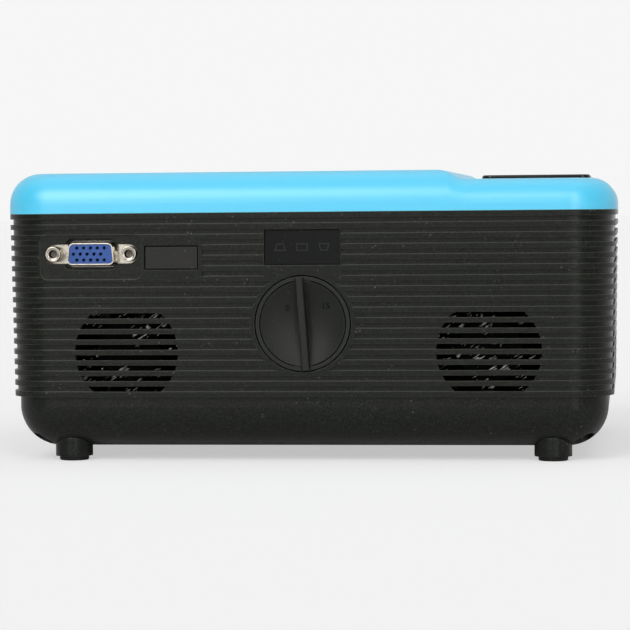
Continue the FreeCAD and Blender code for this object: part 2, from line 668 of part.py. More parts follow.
def bottom_case():
    outer = band_block(0, PARTING_Z).fuse(tub_block(TUB_TOTAL_INSET, TUB_BOTTOM_Z, TUB_EDGE_RADIUS))
    floor_z = TUB_BOTTOM_Z + TUB_WALL
    hollow = tub_block(TUB_TOTAL_INSET + TUB_WALL, floor_z, TUB_EDGE_RADIUS - TUB_WALL)
    band_hollow = Part.makeLoft(
        [case_wire(DRAFT + BAND_WALL, BAND_BOTTOM_Z + TUB_WALL), case_wire(BAND_WALL, PARTING_Z)],
        True, True)
    neck = case_block(TUB_TOTAL_INSET + TUB_WALL, BAND_BOTTOM_Z, BAND_BOTTOM_Z + TUB_WALL + TINY)
    mouth = case_block(BAND_WALL, PARTING_Z - TINY, PARTING_Z + 2)
    grooves = groove_rings().cut(flush_zones())
    hollow = hollow.fuse([neck, band_hollow, mouth])
    shell = outer.cut(hollow)

    # columns, the pad behind the video socket, the tripod boss and the dial's collar
    lugs = []
    for x, y in corners(COLUMN_X, COLUMN_Y):
        lugs.append(rod("z", COLUMN_RADIUS, TUB_BOTTOM_Z, COLUMN_TOP_Z - TUB_BOTTOM_Z, x, y))
    half_w = VIDEO_FLANGE_WIDTH / 2
    half_h = VIDEO_FLANGE_HEIGHT / 2
    lugs.append(box(VIDEO_X - half_w, VIDEO_X + half_w, back_y(VIDEO_Z) + 1, VIDEO_FLANGE_Y,
                    VIDEO_Z - half_h, VIDEO_Z + half_h))
    lugs.append(rod("z", TRIPOD_INSERT_RADIUS + TRIPOD_BOSS_WALL, TUB_BOTTOM_Z,
                    TRIPOD_INSERT_LENGTH + 1, 0, 0))
    lugs.append(tube("y", DIAL_RADIUS + DIAL_GAP + 3.4, DIAL_RADIUS + DIAL_GAP, back_y(DIAL_Z) + 1,
                     3.4, DIAL_X, DIAL_Z))
    # posts under the power board, the light engine and the main board
    for x in (POWER_LEFT_X + 4, POWER_RIGHT_X - 6):
        for y in (POWER_BACK_Y + 4, POWER_FRONT_Y - 4):
            lugs.append(rod("z", 3, floor_z - 1, POWER_BOARD_Z - floor_z + 1, x, y))
    for x in (ENGINE_LEFT_X + 8, ENGINE_RIGHT_X - 8):
        for y in (-ENGINE_HALF_DEPTH + 8, ENGINE_HALF_DEPTH - 8):
            lugs.append(rod("z", 4, floor_z - 1, ENGINE_BOTTOM_Z - floor_z + 1, x, y))
    for x in (BOARD_LEFT_X + 16, BOARD_RIGHT_X - 8):
        lugs.append(rod("z", 3, floor_z - 1, BOARD_Z - floor_z + 1, x, BOARD_FRONT_Y - 5))
    side_x = SIDE_INNER_X + SIDE_BOARD_DEPTH - 4
    for y in (SIDE_BOARD_BACK_Y + 2.4, SIDE_BOARD_FRONT_Y - 2.4):
        lugs.append(rod("z", 3, floor_z - 1, SIDE_BOARD_Z - floor_z + 1, side_x, y))
    lugs = Part.makeCompound(lugs).common(band_block(0.4, PARTING_Z).fuse(
        tub_block(TUB_TOTAL_INSET + 0.4, TUB_BOTTOM_Z, TUB_EDGE_RADIUS)))
    shell = shell.fuse(lugs.Solids)

    cutters = [video_pocket(back_y(VIDEO_Z) + VIDEO_POCKET_DEPTH), video_opening(),
               side_openings(SLIDING)]
    for x, y in corners(COLUMN_X, COLUMN_Y):
        cutters.append(rod("z", WELL_RADIUS, 0, COLUMN_TOP_Z - SCREW_SEAT, x, y))
        cutters.append(rod("z", SCREW_RADIUS + SEAT, 0, COLUMN_TOP_Z + 1, x, y))
    for side in (-1, 1):
        cutters.append(vent_cutter(side * FAN_X, FAN_Z, VENT_RADIUS,
                                   GROOVE_COUNT - VENT_GROOVES, VENT_GROOVES))
    for x in SPEAKER_XS:
        cutters.append(vent_cutter(x, SPEAKER_Z, GRILLE_RADIUS, speaker_groove(), GRILLE_GROOVES, True))
    wall = CASE_DEPTH
    cutters.append(rod("y", DIAL_RADIUS + DIAL_GAP, -wall, wall + back_y(DIAL_Z) + BAND_WALL + 2,
                       DIAL_X, DIAL_Z))
    cutters.append(rod("y", LENS_BEZEL_RADIUS - LENS_BEZEL_FLARE, CASE_DEPTH / 2 - 19, CASE_DEPTH, AXIS_X, AXIS_Z))
    cutters.append(rod("y", LENS_BEZEL_RADIUS + LENS_BEZEL_FLARE, LENS_SEAT_Y, 10, AXIS_X, AXIS_Z))
    cutters.append(label_seat(SEAT))
    cutters.append(ir_seat(False, SEAT))
    cutters.append(ir_seat(True, SEAT))
    half_w, half_h = INLET_WIDTH / 2 + SEAT, INLET_HEIGHT / 2 + SEAT
    cutters.append(plate("x", INLET_Y - half_w, INLET_Y + half_w, INLET_Z - half_h, INLET_Z + half_h,
                         1.5, CASE_WIDTH / 2 - 8, 10))
    cutters.append(rod("z", TRIPOD_INSERT_RADIUS, 0, TUB_BOTTOM_Z + TRIPOD_INSERT_LENGTH, 0, 0))
    return shell.cut([solid for cutter in cutters for solid in cutter.Solids]).cut(grooves)


def speaker_groove():
    """Index of the first groove of a grille centred on the speakers' height."""
    middle = (PARTING_Z - TOP_RIB - GROOVE_HEIGHT / 2 - SPEAKER_Z) / GROOVE_PITCH
    return round(middle - (GRILLE_GROOVES - 1) / 2)


def label_seat(margin):
    y = back_y(PLATE_Z)
    half_w, half_h = PLATE_WIDTH / 2 - 0.3 + margin, PLATE_HEIGHT / 2 + margin
    return plate("y", PLATE_X - half_w, PLATE_X + half_w, PLATE_Z - half_h, PLATE_Z + half_h, 0.3,
                 y - 3, 3 + PLATE_SINK + PLATE_THICKNESS)


def keystone_plate():
    """Bare inlaid plate above the dial."""
    y = back_y(PLATE_Z) + PLATE_SINK
    return label_seat(0).common(box(-50, 50, y, y + PLATE_THICKNESS, 0, PARTING_Z))


def ir_seat(front, margin, thickness=None):
    """Window opening: the whole wall on the visible outline, a ledge inside."""
    half_w, half_h = IR_WIDTH / 2 + margin, IR_HEIGHT / 2 + margin
    y = -CASE_DEPTH / 2 - 1 if thickness is None else back_y(IR_Z) + IR_SINK
    length = BAND_WALL + 3 if thickness is None else thickness
    seat = plate("y", IR_X - half_w, IR_X + half_w, IR_Z - half_h, IR_Z + half_h, 0.4, y, length)
    return seat.mirror(V(0, 0, 0), AXES["y"]) if front else seat


def ir_windows():
    """Dark filter windows in the back and the front, each with a ledge inside the wall."""
    shapes = []
    for front in (False, True):
        pane = ir_seat(front, 0, BAND_WALL - IR_SINK + IR_THICKNESS)
        y = back_y(IR_Z) + BAND_WALL + SEAT * 2
        ledge = plate("y", IR_X - IR_WIDTH / 2 - 2, IR_X + IR_WIDTH / 2 + 2, IR_Z - IR_HEIGHT / 2 - 2,
                      IR_Z + IR_HEIGHT / 2 + 2, 0.8, y, IR_THICKNESS)
        if front:
            ledge = ledge.mirror(V(0, 0, 0), AXES["y"])
        shapes.append(pane.fuse(ledge))
    return group(shapes)


# ---------------------------------------------------------------- cover
def stepped_cap(inset, drop, bottom_z, edge_radius):
    """The cover's form, moved in and down: plateau, double-curved step, lower deck."""
    high, low = PLATEAU_Z - drop, DECK_Z - drop
    block = case_block(inset, bottom_z, high)
    turn = 2 * math.atan((high - low) / STEP_RUN)
    r = STEP_RUN / (2 * math.sin(turn))
    far = CASE_WIDTH
    rise, mid_x = r * (1 - math.cos(turn / 2)), r * math.sin(turn / 2)
    start, end = V(STEP_X, -far, high), V(STEP_X + STEP_RUN, -far, low)
    middle = (start + end) / 2
    crest = V(STEP_X + mid_x, -far, high - rise)
    foot = V(STEP_X + STEP_RUN - mid_x, -far, low + rise)
    outline = [
        Part.Arc(start, crest, middle).toShape(),
        Part.Arc(middle, foot, end).toShape(),
        Part.makeLine(end, V(far, -far, low)),
        Part.makeLine(V(far, -far, low), V(far, -far, high + far)),
        Part.makeLine(V(far, -far, high + far), V(STEP_X, -far, high + far)),
        Part.makeLine(V(STEP_X, -far, high + far), start),
    ]
    cap = block.cut(Part.Face(Part.Wire(outline)).extrude(V(0, 2 * far, 0)))
    inside = CASE_WIDTH / 2 - CORNER_RADIUS
    rim = [e for e in cap.Edges if e.BoundBox.ZMin > low - TINY
           and not (abs(e.CenterOfMass.x) < inside and e.BoundBox.YLength > CASE_DEPTH / 2)]
    return cap.makeFillet(edge_radius, rim)


def rounded_block():
    """The plateau's rounder rim, which the cover's outside keeps to."""
    block = case_block(0, PARTING_Z, PLATEAU_Z)
    rim = [e for e in block.Edges if e.BoundBox.ZMin > PLATEAU_Z - TINY]
    return block.makeFillet(COVER_EDGE_RADIUS + PLATEAU_ROUNDING, rim)


def lid_opening(gap, z0, z1):
    """Round hole for the lid with a slot behind the hinge."""
    height = z1 - z0
    hole = rod("z", LID_RADIUS + gap, z0, height, DISC_X, DISC_Y)
    hole = hole.fuse(rod("z", LID_RADIUS + gap, z0, height, DISC_X, DISC_Y - LID_BACK_GAP))
    hole = hole.common(box(-CASE_WIDTH, CASE_WIDTH, HINGE_Y, CASE_DEPTH, z0 - 1, z1 + 1))
    half = HINGE_HALF + HINGE_EAR + gap
    slot = box(DISC_X - half, DISC_X + half, HINGE_Y - HINGE_SWEEP, HINGE_Y + 6, z0, z1)
    return hole.fuse(slot)


def strip_window(margin, z0, z1):
    inner = STRIP_WINDOW_MARGIN - margin
    return plate("z", STRIP_LEFT_X + inner, STRIP_RIGHT_X - inner, STRIP_BACK_Y + inner,
                 STRIP_FRONT_Y - inner, 2.0, z0, z1 - z0)


def key_board_posts():
    """Places of the four posts that hang from the deck and carry the key board."""
    x0, x1 = STRIP_LEFT_X + 1.0, STRIP_RIGHT_X - 1.0
    y0, y1 = STRIP_BACK_Y + KEY_BOARD_INSET, STRIP_FRONT_Y - KEY_BOARD_INSET
    return [(x0, y0), (x1, y0), (x0, y1), (x1, y1)]


def lug_places():
    reach = LUG_REACH / math.sqrt(2)
    return [(DISC_X + sx * reach, DISC_Y + sy * reach) for sx in (-1, 1) for sy in (-1, 1)]


def latch_opening(margin, z0, z1):
    half = LATCH_WIDTH / 2 + margin
    depth = LATCH_LENGTH / 2 + margin
    return plate("z", DISC_X - half, DISC_X + half, LATCH_Y - depth, LATCH_Y + depth, 1.5, z0, z1 - z0)


def top_cover():
    cap = stepped_cap(0, 0, PARTING_Z, COVER_EDGE_RADIUS).common(rounded_block())
    hollow = stepped_cap(COVER_WALL, COVER_WALL, PARTING_Z - 1, COVER_EDGE_RADIUS - COVER_WALL)
    cover = cap.cut(hollow)
    lip_out = BAND_WALL + SLIDING
    lip_in = lip_out + LIP_THICKNESS
    lip = case_block(lip_out, PARTING_Z - LIP_HEIGHT, PARTING_Z + 2)
    root = case_block(COVER_WALL - 0.5, PARTING_Z, PARTING_Z + 2)
    core = case_block(lip_in, PARTING_Z - LIP_HEIGHT - 1, PARTING_Z + 3)
    extras = [lip.fuse(root).cut(core)]
    for x, y in corners(COLUMN_X, COLUMN_Y):
        roof = (DECK_ROOF_Z if x > 0 else ROOF_Z) + COVER_WALL / 4
        extras.append(rod("z", POST_RADIUS, COLUMN_TOP_Z, roof - COLUMN_TOP_Z, x, y))
    for x, y in lug_places():
        extras.append(rod("z", LUG_RADIUS - 1, WELL_FLOOR_Z, ROOF_Z + 1 - WELL_FLOOR_Z, x, y))
    for x, y in key_board_posts():
        extras.append(rod("z", 2, KEY_BOARD_TOP_Z, DECK_ROOF_Z + 1 - KEY_BOARD_TOP_Z, x, y))
    inside = stepped_cap(COVER_WALL / 2, COVER_WALL / 2, PARTING_Z, COVER_EDGE_RADIUS - COVER_WALL / 2)
    below = case_block(BAND_WALL + SLIDING / 2, 0, PARTING_Z + TINY)
    extras = Part.makeCompound(extras).common(inside.fuse(below))
    cover = cover.fuse(extras.Solids)
    cutters = [lid_opening(LID_GAP, PARTING_Z + 5, PLATEAU_Z + 1),
               latch_opening(SLIDING, PARTING_Z + 5, PLATEAU_Z + 1),
               strip_window(SEAT, PARTING_Z + 2, DECK_Z + 1)]
    for x, y in corners(COLUMN_X, COLUMN_Y):
        cutters.append(rod("z", SCREW_RADIUS + TINY, COLUMN_TOP_Z - 1, SCREW_LENGTH + 2, x, y))
    for x, y in lug_places():
        cutters.append(rod("z", LUG_SCREW_RADIUS + TINY, WELL_FLOOR_Z - 1, LUG_SCREW_LENGTH + 1, x, y))
    for x, y in key_board_posts():
        cutters.append(rod("z", 0.8, KEY_BOARD_TOP_Z - 1, 4, x, y))
    for cutter in cutters:
        cover = cover.cut(cutter)
    return cover


def disc_deck():
    """Well under the lid: flange below the cover, round wall and floor, hinge ears, pegs."""
    bottom_z = WELL_FLOOR_Z - WELL_FLOOR
    wall_r = WELL_INNER_RADIUS + WELL_WALL
    wall = rod("z", wall_r, bottom_z, ROOF_Z - bottom_z, DISC_X, DISC_Y)
    flange = rod("z", FLANGE_RADIUS, ROOF_Z - FLANGE_THICKNESS, FLANGE_THICKNESS, DISC_X, DISC_Y)
    well = rod("z", WELL_INNER_RADIUS, WELL_FLOOR_Z, 20, DISC_X, DISC_Y)
    deck = wall.fuse(flange)
    lugs = []
    for x, y in lug_places():
        lugs.append(rod("z", LUG_RADIUS, WELL_FLOOR_Z - LUG_THICKNESS, LUG_THICKNESS, x, y))
        dx, dy = x - DISC_X, y - DISC_Y
        scale = (wall_r - 1) / math.hypot(dx, dy)
        web = box(0, math.hypot(dx, dy) * (1 - scale), -LUG_RADIUS, LUG_RADIUS,
                  WELL_FLOOR_Z - LUG_THICKNESS, WELL_FLOOR_Z)
        web.rotate(V(0, 0, 0), AXES["z"], math.degrees(math.atan2(dy, dx)))
        lugs.append(web.translated(V(DISC_X + dx * scale, DISC_Y + dy * scale, 0)))
    for x, y in damper_places():
        lugs.append(rod("z", PEG_RADIUS, CHASSIS_TOP_Z - 2, bottom_z - CHASSIS_TOP_Z + 3, x, y))
    half = HINGE_HALF + HINGE_EAR
    lugs.append(box(DISC_X - half, DISC_X + half, HINGE_Y - HINGE_SWEEP - FLANGE_THICKNESS, HINGE_Y + 4,
                    HINGE_Z - HINGE_SWEEP - FLANGE_THICKNESS, ROOF_Z))
    deck = deck.fuse(lugs).cut(well)
    ears = []
    for side in (-1, 1):
        inner = HINGE_HALF + SLIDING
        x0 = DISC_X + side * inner
        x1 = DISC_X + side * (HINGE_HALF + HINGE_EAR)
        x0, x1 = min(x0, x1), max(x0, x1)
        ears.append(box(x0, x1, HINGE_Y - 2, HINGE_Y + 2, ROOF_Z - FLANGE_THICKNESS, HINGE_Z))
        ears.append(rod("x", 2, x0, x1 - x0, HINGE_Y, HINGE_Z))
    deck = deck.fuse(ears)
    cutters = [rod("x", HINGE_SWEEP, DISC_X - HINGE_HALF - SLIDING, 2 * (HINGE_HALF + SLIDING),
                   HINGE_Y, HINGE_Z),
               rod("x", HINGE_PIN_RADIUS, DISC_X - 40, 80, HINGE_Y, HINGE_Z),
               rod("z", TURNTABLE_RADIUS + 1.5, bottom_z - 1, WELL_FLOOR + 2, DISC_X, DISC_Y),
               objective_slot(bottom_z - 1, WELL_FLOOR + 2),
               latch_opening(SLIDING + 1, bottom_z - 1, PLATEAU_Z), hook_slot()]
    for x, y in lug_places():
        cutters.append(rod("z", LUG_SCREW_RADIUS + SEAT, WELL_FLOOR_Z - 5, 6, x, y))
    for cutter in cutters:
        deck = deck.cut(cutter)
    return deck


def hook_slot():
    """Slot in the well wall and flange for the latch's hook and its travel."""
    half = TONGUE_WIDTH / 2 + SLIDING
    return box(DISC_X - half, DISC_X + half, DISC_Y + WELL_INNER_RADIUS - 4, LATCH_Y,
               ROOF_Z - HOOK_DROP - HOOK_THICKNESS - LATCH_TRAVEL - SLIDING, ROOF_Z + 1)


def objective_slot(z, height):
    x0 = DISC_X + TURNTABLE_RADIUS
    x1 = OBJECTIVE_X + SLED_TRAVEL + OBJECTIVE_RADIUS + 1.4
    return plate("z", x0, x1, DISC_Y - 8, DISC_Y + 8, 3, z, height)


def deck_screws():
    screws = []
    for x, y in lug_places():
        bottom = WELL_FLOOR_Z - LUG_THICKNESS
        head = rod("z", LUG_HEAD_RADIUS, bottom - LUG_HEAD_HEIGHT, LUG_HEAD_HEIGHT, x, y)
        screws.append(head.fuse(rod("z", LUG_SCREW_RADIUS, bottom - 0.1, LUG_SCREW_LENGTH, x, y)))
    return screws


def disc_lid():
    """Flush round lid with a hinge barrel at the back and a catch tongue at the front."""
    disc = rod("z", LID_RADIUS, LID_BOTTOM_Z, LID_THICKNESS, DISC_X, DISC_Y)
    rim_edges = [e for e in disc.Edges if e.BoundBox.ZMin > LID_TOP_Z - TINY]
    disc = disc.makeFillet(0.4, rim_edges)
    disc = disc.common(box(-CASE_WIDTH, CASE_WIDTH, HINGE_Y, CASE_DEPTH, 0, 200))
    barrel = rod("x", HINGE_RADIUS, DISC_X - HINGE_HALF, 2 * HINGE_HALF, HINGE_Y, HINGE_Z)
    rim_r = WELL_INNER_RADIUS - 1.0
    rim = tube("z", rim_r, rim_r - 1.6, LID_BOTTOM_Z - 1.6, 1.8, DISC_X, DISC_Y)
    rim = rim.cut(box(-CASE_WIDTH, CASE_WIDTH, -CASE_DEPTH, HINGE_Y + 9, 0, 200))
    tip_y = DISC_Y + rim_r - 0.4
    tongue = box(DISC_X - TONGUE_WIDTH / 2, DISC_X + TONGUE_WIDTH / 2, tip_y - TONGUE_THICKNESS, tip_y,
                 LID_BOTTOM_Z - TONGUE_LENGTH, LID_BOTTOM_Z + 0.5)
    lid = disc.fuse([barrel, rim, tongue])
    for side in (-1, 1):
        start = DISC_X + HINGE_HALF - HINGE_PIN_GRIP if side > 0 else DISC_X - HINGE_HALF - 1
        lid = lid.cut(rod("x", HINGE_PIN_RADIUS + RUNNING, start, HINGE_PIN_GRIP + 1, HINGE_Y, HINGE_Z))
    return lid


def hinge_pins():
    length = HINGE_EAR + HINGE_PIN_GRIP - 0.5
    pins = []
    for side in (-1, 1):
        outer = DISC_X + side * (HINGE_HALF + HINGE_EAR)
        start = outer - length if side > 0 else outer
        pins.append(rod("x", HINGE_PIN_RADIUS, start, length, HINGE_Y, HINGE_Z))
    return Part.makeCompound(pins)


def lid_latch():
    """Push button in front of the lid with the hook that holds the lid's tongue."""
    cap = latch_opening(0, ROOF_Z - 1.2, PLATEAU_Z)
    skirt = latch_opening(0.9, ROOF_Z - 1.2 - 1.0, ROOF_Z - SLIDING)
    hook_y = DISC_Y + WELL_INNER_RADIUS - 1.0 - 0.4 + SLIDING
    arm = box(DISC_X - TONGUE_WIDTH / 2, DISC_X + TONGUE_WIDTH / 2, hook_y, LATCH_Y,
              ROOF_Z - HOOK_DROP - HOOK_THICKNESS, ROOF_Z - HOOK_DROP)
    stem = box(DISC_X - 6, DISC_X + 6, LATCH_Y - 1.5, LATCH_Y + 1.5, WELL_FLOOR_Z + 3, ROOF_Z - 1.5)
    return cap.fuse([skirt, arm, stem]).removeSplitter()


# ---------------------------------------------------------------- fasteners, feet, tripod
def screws():
    """Four case screws deep in the wells and four small ones under the disc deck."""
    screws = deck_screws()
    seat = COLUMN_TOP_Z - SCREW_SEAT
    for x, y in corners(COLUMN_X, COLUMN_Y):
        head = rod("z", SCREW_HEAD_RADIUS, seat - SCREW_HEAD_HEIGHT, SCREW_HEAD_HEIGHT, x, y)
        cross = [box(x - 1.3, x + 1.3, y - 0.3, y + 0.3, seat - 3, seat - 0.9),
                 box(x - 0.3, x + 0.3, y - 1.3, y + 1.3, seat - 3, seat - 0.9)]
        screws.append(head.fuse(rod("z", SCREW_RADIUS, seat - 0.1, SCREW_LENGTH, x, y)).cut(cross))
    return group(screws)


def foot_collars():
    tub = tub_block(TUB_TOTAL_INSET, TUB_BOTTOM_Z, TUB_EDGE_RADIUS)
    height = TUB_BOTTOM_Z + FOOT_COLLAR_RISE - FOOT_PAD_HEIGHT
    collars = [rod("z", FOOT_COLLAR_RADIUS, FOOT_PAD_HEIGHT, height, x, y).cut(tub)
               for x, y in corners(FOOT_X, FOOT_Y)]
    return group(collars)


def foot_pads():
    pads = []
    for x, y in corners(FOOT_X, FOOT_Y):
        pad = rod("z", FOOT_PAD_RADIUS, 0, FOOT_PAD_HEIGHT, x, y)
        rim = [e for e in pad.Edges if e.BoundBox.ZMax < TINY]
        pads.append(pad.makeFillet(0.5, rim))
    return group(pads)


def tripod_insert():
    insert = rod("z", TRIPOD_INSERT_RADIUS, TUB_BOTTOM_Z, TRIPOD_INSERT_LENGTH, 0, 0)
    bore = rod("z", TRIPOD_THREAD_RADIUS, TUB_BOTTOM_Z - 1, TRIPOD_INSERT_LENGTH, 0, 0)
    return insert.cut(bore)


# ---------------------------------------------------------------- analogue video socket
def trapezoid(grow, start, length, radius):
    top, low = VIDEO_INSERT_TOP / 2 + grow, VIDEO_INSERT_BOTTOM / 2 + grow
    half = VIDEO_INSERT_HEIGHT / 2 + grow
    points = [(VIDEO_X - low, VIDEO_Z - half), (VIDEO_X + low, VIDEO_Z - half),
              (VIDEO_X + top, VIDEO_Z + half), (VIDEO_X - top, VIDEO_Z + half)]
    return prism("y", points, radius, start, length)


def vga_shell():
    """Steel flange and drawn shell."""
    half_w, half_h = VIDEO_FLANGE_WIDTH / 2, VIDEO_FLANGE_HEIGHT / 2
    flange = plate("y", VIDEO_X - half_w, VIDEO_X + half_w, VIDEO_Z - half_h, VIDEO_Z + half_h, 1.5,
                   VIDEO_FLANGE_Y, VIDEO_FLANGE_THICKNESS)
    drawn = trapezoid(VIDEO_SHELL_WALL, VIDEO_FLANGE_Y - VIDEO_SHELL_REACH,
                      VIDEO_SHELL_REACH + VIDEO_FLANGE_THICKNESS / 2, 1.9)
    shell = flange.fuse(drawn)
    shell = shell.cut(trapezoid(0, VIDEO_FLANGE_Y - 10, 20, 1.5))
    for side in (-1, 1):
        x = VIDEO_X + side * JACKSCREW_SPACING / 2
        shell = shell.cut(rod("y", JACKSCREW_BORE + SEAT, VIDEO_FLANGE_Y - 5, 20, x, VIDEO_Z))
    return shell


def vga_insert():
    """Blue contact block and its moulded body, which stands on the main board."""
    face_y = VIDEO_FLANGE_Y - VIDEO_SHELL_REACH + 0.3
    block = trapezoid(-TINY, face_y, VIDEO_SHELL_REACH + 1, 1.5)
    back = VIDEO_FLANGE_Y + VIDEO_FLANGE_THICKNESS
    half = VIDEO_BODY_WIDTH / 2
    body = box(VIDEO_X - half, VIDEO_X + half, back, back + VIDEO_BODY_DEPTH, BOARD_TOP_Z,
               VIDEO_Z + VIDEO_FLANGE_HEIGHT / 2)
    part = block.fuse(body)
    holes = []
    for row in (-1, 0, 1):
        for column in range(-2, 3):
            shift = -CONTACT_PITCH / 2 if row == 0 else 0
            x = VIDEO_X + column * CONTACT_PITCH + shift
            holes.append(rod("y", CONTACT_RADIUS, face_y - 1, CONTACT_DEPTH + 1, x,
                             VIDEO_Z + row * CONTACT_ROW))
    for side in (-1, 1):
        x = VIDEO_X + side * JACKSCREW_SPACING / 2
        holes.append(rod("y", JACKSCREW_BORE + SEAT, back - 1, VIDEO_BODY_DEPTH + 2, x, VIDEO_Z))
    return part.cut(Part.makeCompound(holes))


def vga_jackscrews():
    nuts = []
    for side in (-1, 1):
        x = VIDEO_X + side * JACKSCREW_SPACING / 2
        nut = hexagon("y", JACKSCREW_FLATS, VIDEO_FLANGE_Y - JACKSCREW_LENGTH, JACKSCREW_LENGTH,
                      x, VIDEO_Z)
        stud = rod("y", JACKSCREW_BORE, VIDEO_FLANGE_Y - 1, 8, x, VIDEO_Z)
        bore = rod("y", JACKSCREW_BORE, VIDEO_FLANGE_Y - JACKSCREW_LENGTH - 1, JACKSCREW_LENGTH, x,
                   VIDEO_Z)
        cone = rod("y", JACKSCREW_FLATS / 2 + 0.15, VIDEO_FLANGE_Y - JACKSCREW_LENGTH - 1, 9, x, VIDEO_Z)
        nuts.append(nut.common(cone).cut(bore).fuse(stud))
    return group(nuts)


# ---------------------------------------------------------------- keystone dial
def keystone_knob():
    """Dial with a hollowed face and a grip bar across it, tilted a little at rest."""
    face_y = back_y(DIAL_Z)
    disc = rod("y", DIAL_RADIUS, face_y, DIAL_DEPTH, DIAL_X, DIAL_Z)
    flange = rod("y", DIAL_FLANGE_RADIUS, face_y + BAND_WALL + 2.2, DIAL_DEPTH - BAND_WALL - 2.2,
                 DIAL_X, DIAL_Z)
    bowl_r = DIAL_RADIUS - DIAL_RIM
    sphere_r = (bowl_r ** 2 + DIAL_BOWL_DEPTH ** 2) / (2 * DIAL_BOWL_DEPTH)
    bowl = Part.makeSphere(sphere_r, V(DIAL_X, face_y + DIAL_BOWL_DEPTH - sphere_r, DIAL_Z))
    line = tube("y", bowl_r + DIAL_LINE / 2, bowl_r - DIAL_LINE / 2, face_y - 1, 1.5, DIAL_X, DIAL_Z)
    half = GRIP_WIDTH / 2
    grip = box(DIAL_X - half, DIAL_X + half, -CASE_DEPTH / 2 - PROUD, face_y + DIAL_DEPTH - 1,
               DIAL_Z - DIAL_RADIUS, DIAL_Z + DIAL_RADIUS)
    edges = [e for e in grip.Edges if e.BoundBox.YMax < -CASE_DEPTH / 2 - PROUD + TINY
             and e.BoundBox.ZLength > DIAL_RADIUS]
    grip = grip.makeFillet(0.7, edges)
    grip = grip.common(rod("y", DIAL_RADIUS - 0.3, -CASE_DEPTH, CASE_DEPTH, DIAL_X, DIAL_Z))
    knob = disc.cut([bowl, line]).fuse([grip, flange])
    knob = knob.cut(rod("y", DIAL_SHAFT_RADIUS, face_y + DIAL_DEPTH - 1.5, 10, DIAL_X, DIAL_Z))
    knob.rotate(V(DIAL_X, 0, DIAL_Z), AXES["y"], -GRIP_TILT)
    return knob


def keystone_shaft():
    """Shaft from the dial to the cam that tilts the mirror."""
    start = back_y(DIAL_Z) + DIAL_DEPTH - 1.5
    end = -ENGINE_HALF_DEPTH - 1.0
    shaft = rod("y", DIAL_SHAFT_RADIUS, start, end - start, DIAL_X, DIAL_Z)
    cam = rod("y", CAM_RADIUS, end - CAM_THICKNESS, CAM_THICKNESS, DIAL_X, DIAL_Z)
    pin = rod("y", 1.4, end, ENGINE_WALL + 2.5, DIAL_X + CAM_RADIUS - 2, DIAL_Z)
    return shaft.fuse([cam, pin])


# ---------------------------------------------------------------- fans
def fan_frames():
    frames = []
    half = FAN_SIZE / 2
    for side in (-1, 1):
        x = side * FAN_X
        frame = plate("y", x - half, x + half, FAN_Z - half, FAN_Z + half, 2.5, FAN_BACK_Y, FAN_DEPTH)
        frame = frame.cut(rod("y", FAN_BORE_RADIUS, FAN_BACK_Y - 1, FAN_DEPTH + 2, x, FAN_Z))
        motor_y = FAN_BACK_Y + FAN_DEPTH - FAN_SPIDER
        spider = [rod("y", FAN_HUB_RADIUS, motor_y, FAN_SPIDER, x, FAN_Z)]
        for k in range(4):
            strut = box(0, FAN_BORE_RADIUS + 0.8, 0, FAN_SPIDER, -1.2, 1.2)
            strut.rotate(V(0, 0, 0), AXES["y"], 45 + 90 * k)
            spider.append(strut.translated(V(x, motor_y, FAN_Z)))
        frame = frame.fuse(spider)
        for sx, sz in corners(FAN_SCREW_SPACING / 2, FAN_SCREW_SPACING / 2):
            frame = frame.cut(rod("y", 1.7, FAN_BACK_Y - 1, FAN_DEPTH + 2, x + sx, FAN_Z + sz))
        frame = frame.cut(rod("y", FAN_SHAFT_RADIUS + RUNNING, motor_y - 1, 4, x, FAN_Z))
        frames.append(frame)
    return group(frames)


def fan_rotor(side):
    """Hub cup, swept blades and the steel shaft in the frame's bearing."""
    start = FAN_BACK_Y + FAN_FRONT_GAP
    depth = FAN_DEPTH - FAN_SPIDER - SLIDING - FAN_FRONT_GAP
    tip = FAN_BORE_RADIUS - FAN_TIP_GAP
    blades = []
    for k in range(FAN_BLADES):
        blade = box(0, tip + 3, -FAN_BLADE_THICKNESS / 2, FAN_BLADE_THICKNESS / 2,
                    -FAN_BLADE_CHORD / 2, FAN_BLADE_CHORD / 2)
        blade.rotate(V(0, 0, 0), AXES["x"], FAN_BLADE_PITCH * side)
        blade = blade.translated(V(0, start + depth / 2, 0))
        blade.rotate(V(0, 0, 0), AXES["y"], 360 * k / FAN_BLADES)
        blades.append(blade)
    swept = rod("y", tip, start, depth - 0.4, 0, 0)
    blades = [blade.common(swept) for blade in blades]
    hub = rod("y", FAN_HUB_RADIUS, start, depth, 0, 0)
    edges = [e for e in hub.Edges if e.BoundBox.YMax < start + TINY]
    hub = hub.makeFillet(1.0, edges)
    shaft = rod("y", FAN_SHAFT_RADIUS, start + depth - 1, 3, 0, 0)
    rotor = hub.fuse(blades + [shaft])
    return rotor.translated(V(side * FAN_X, 0, FAN_Z))


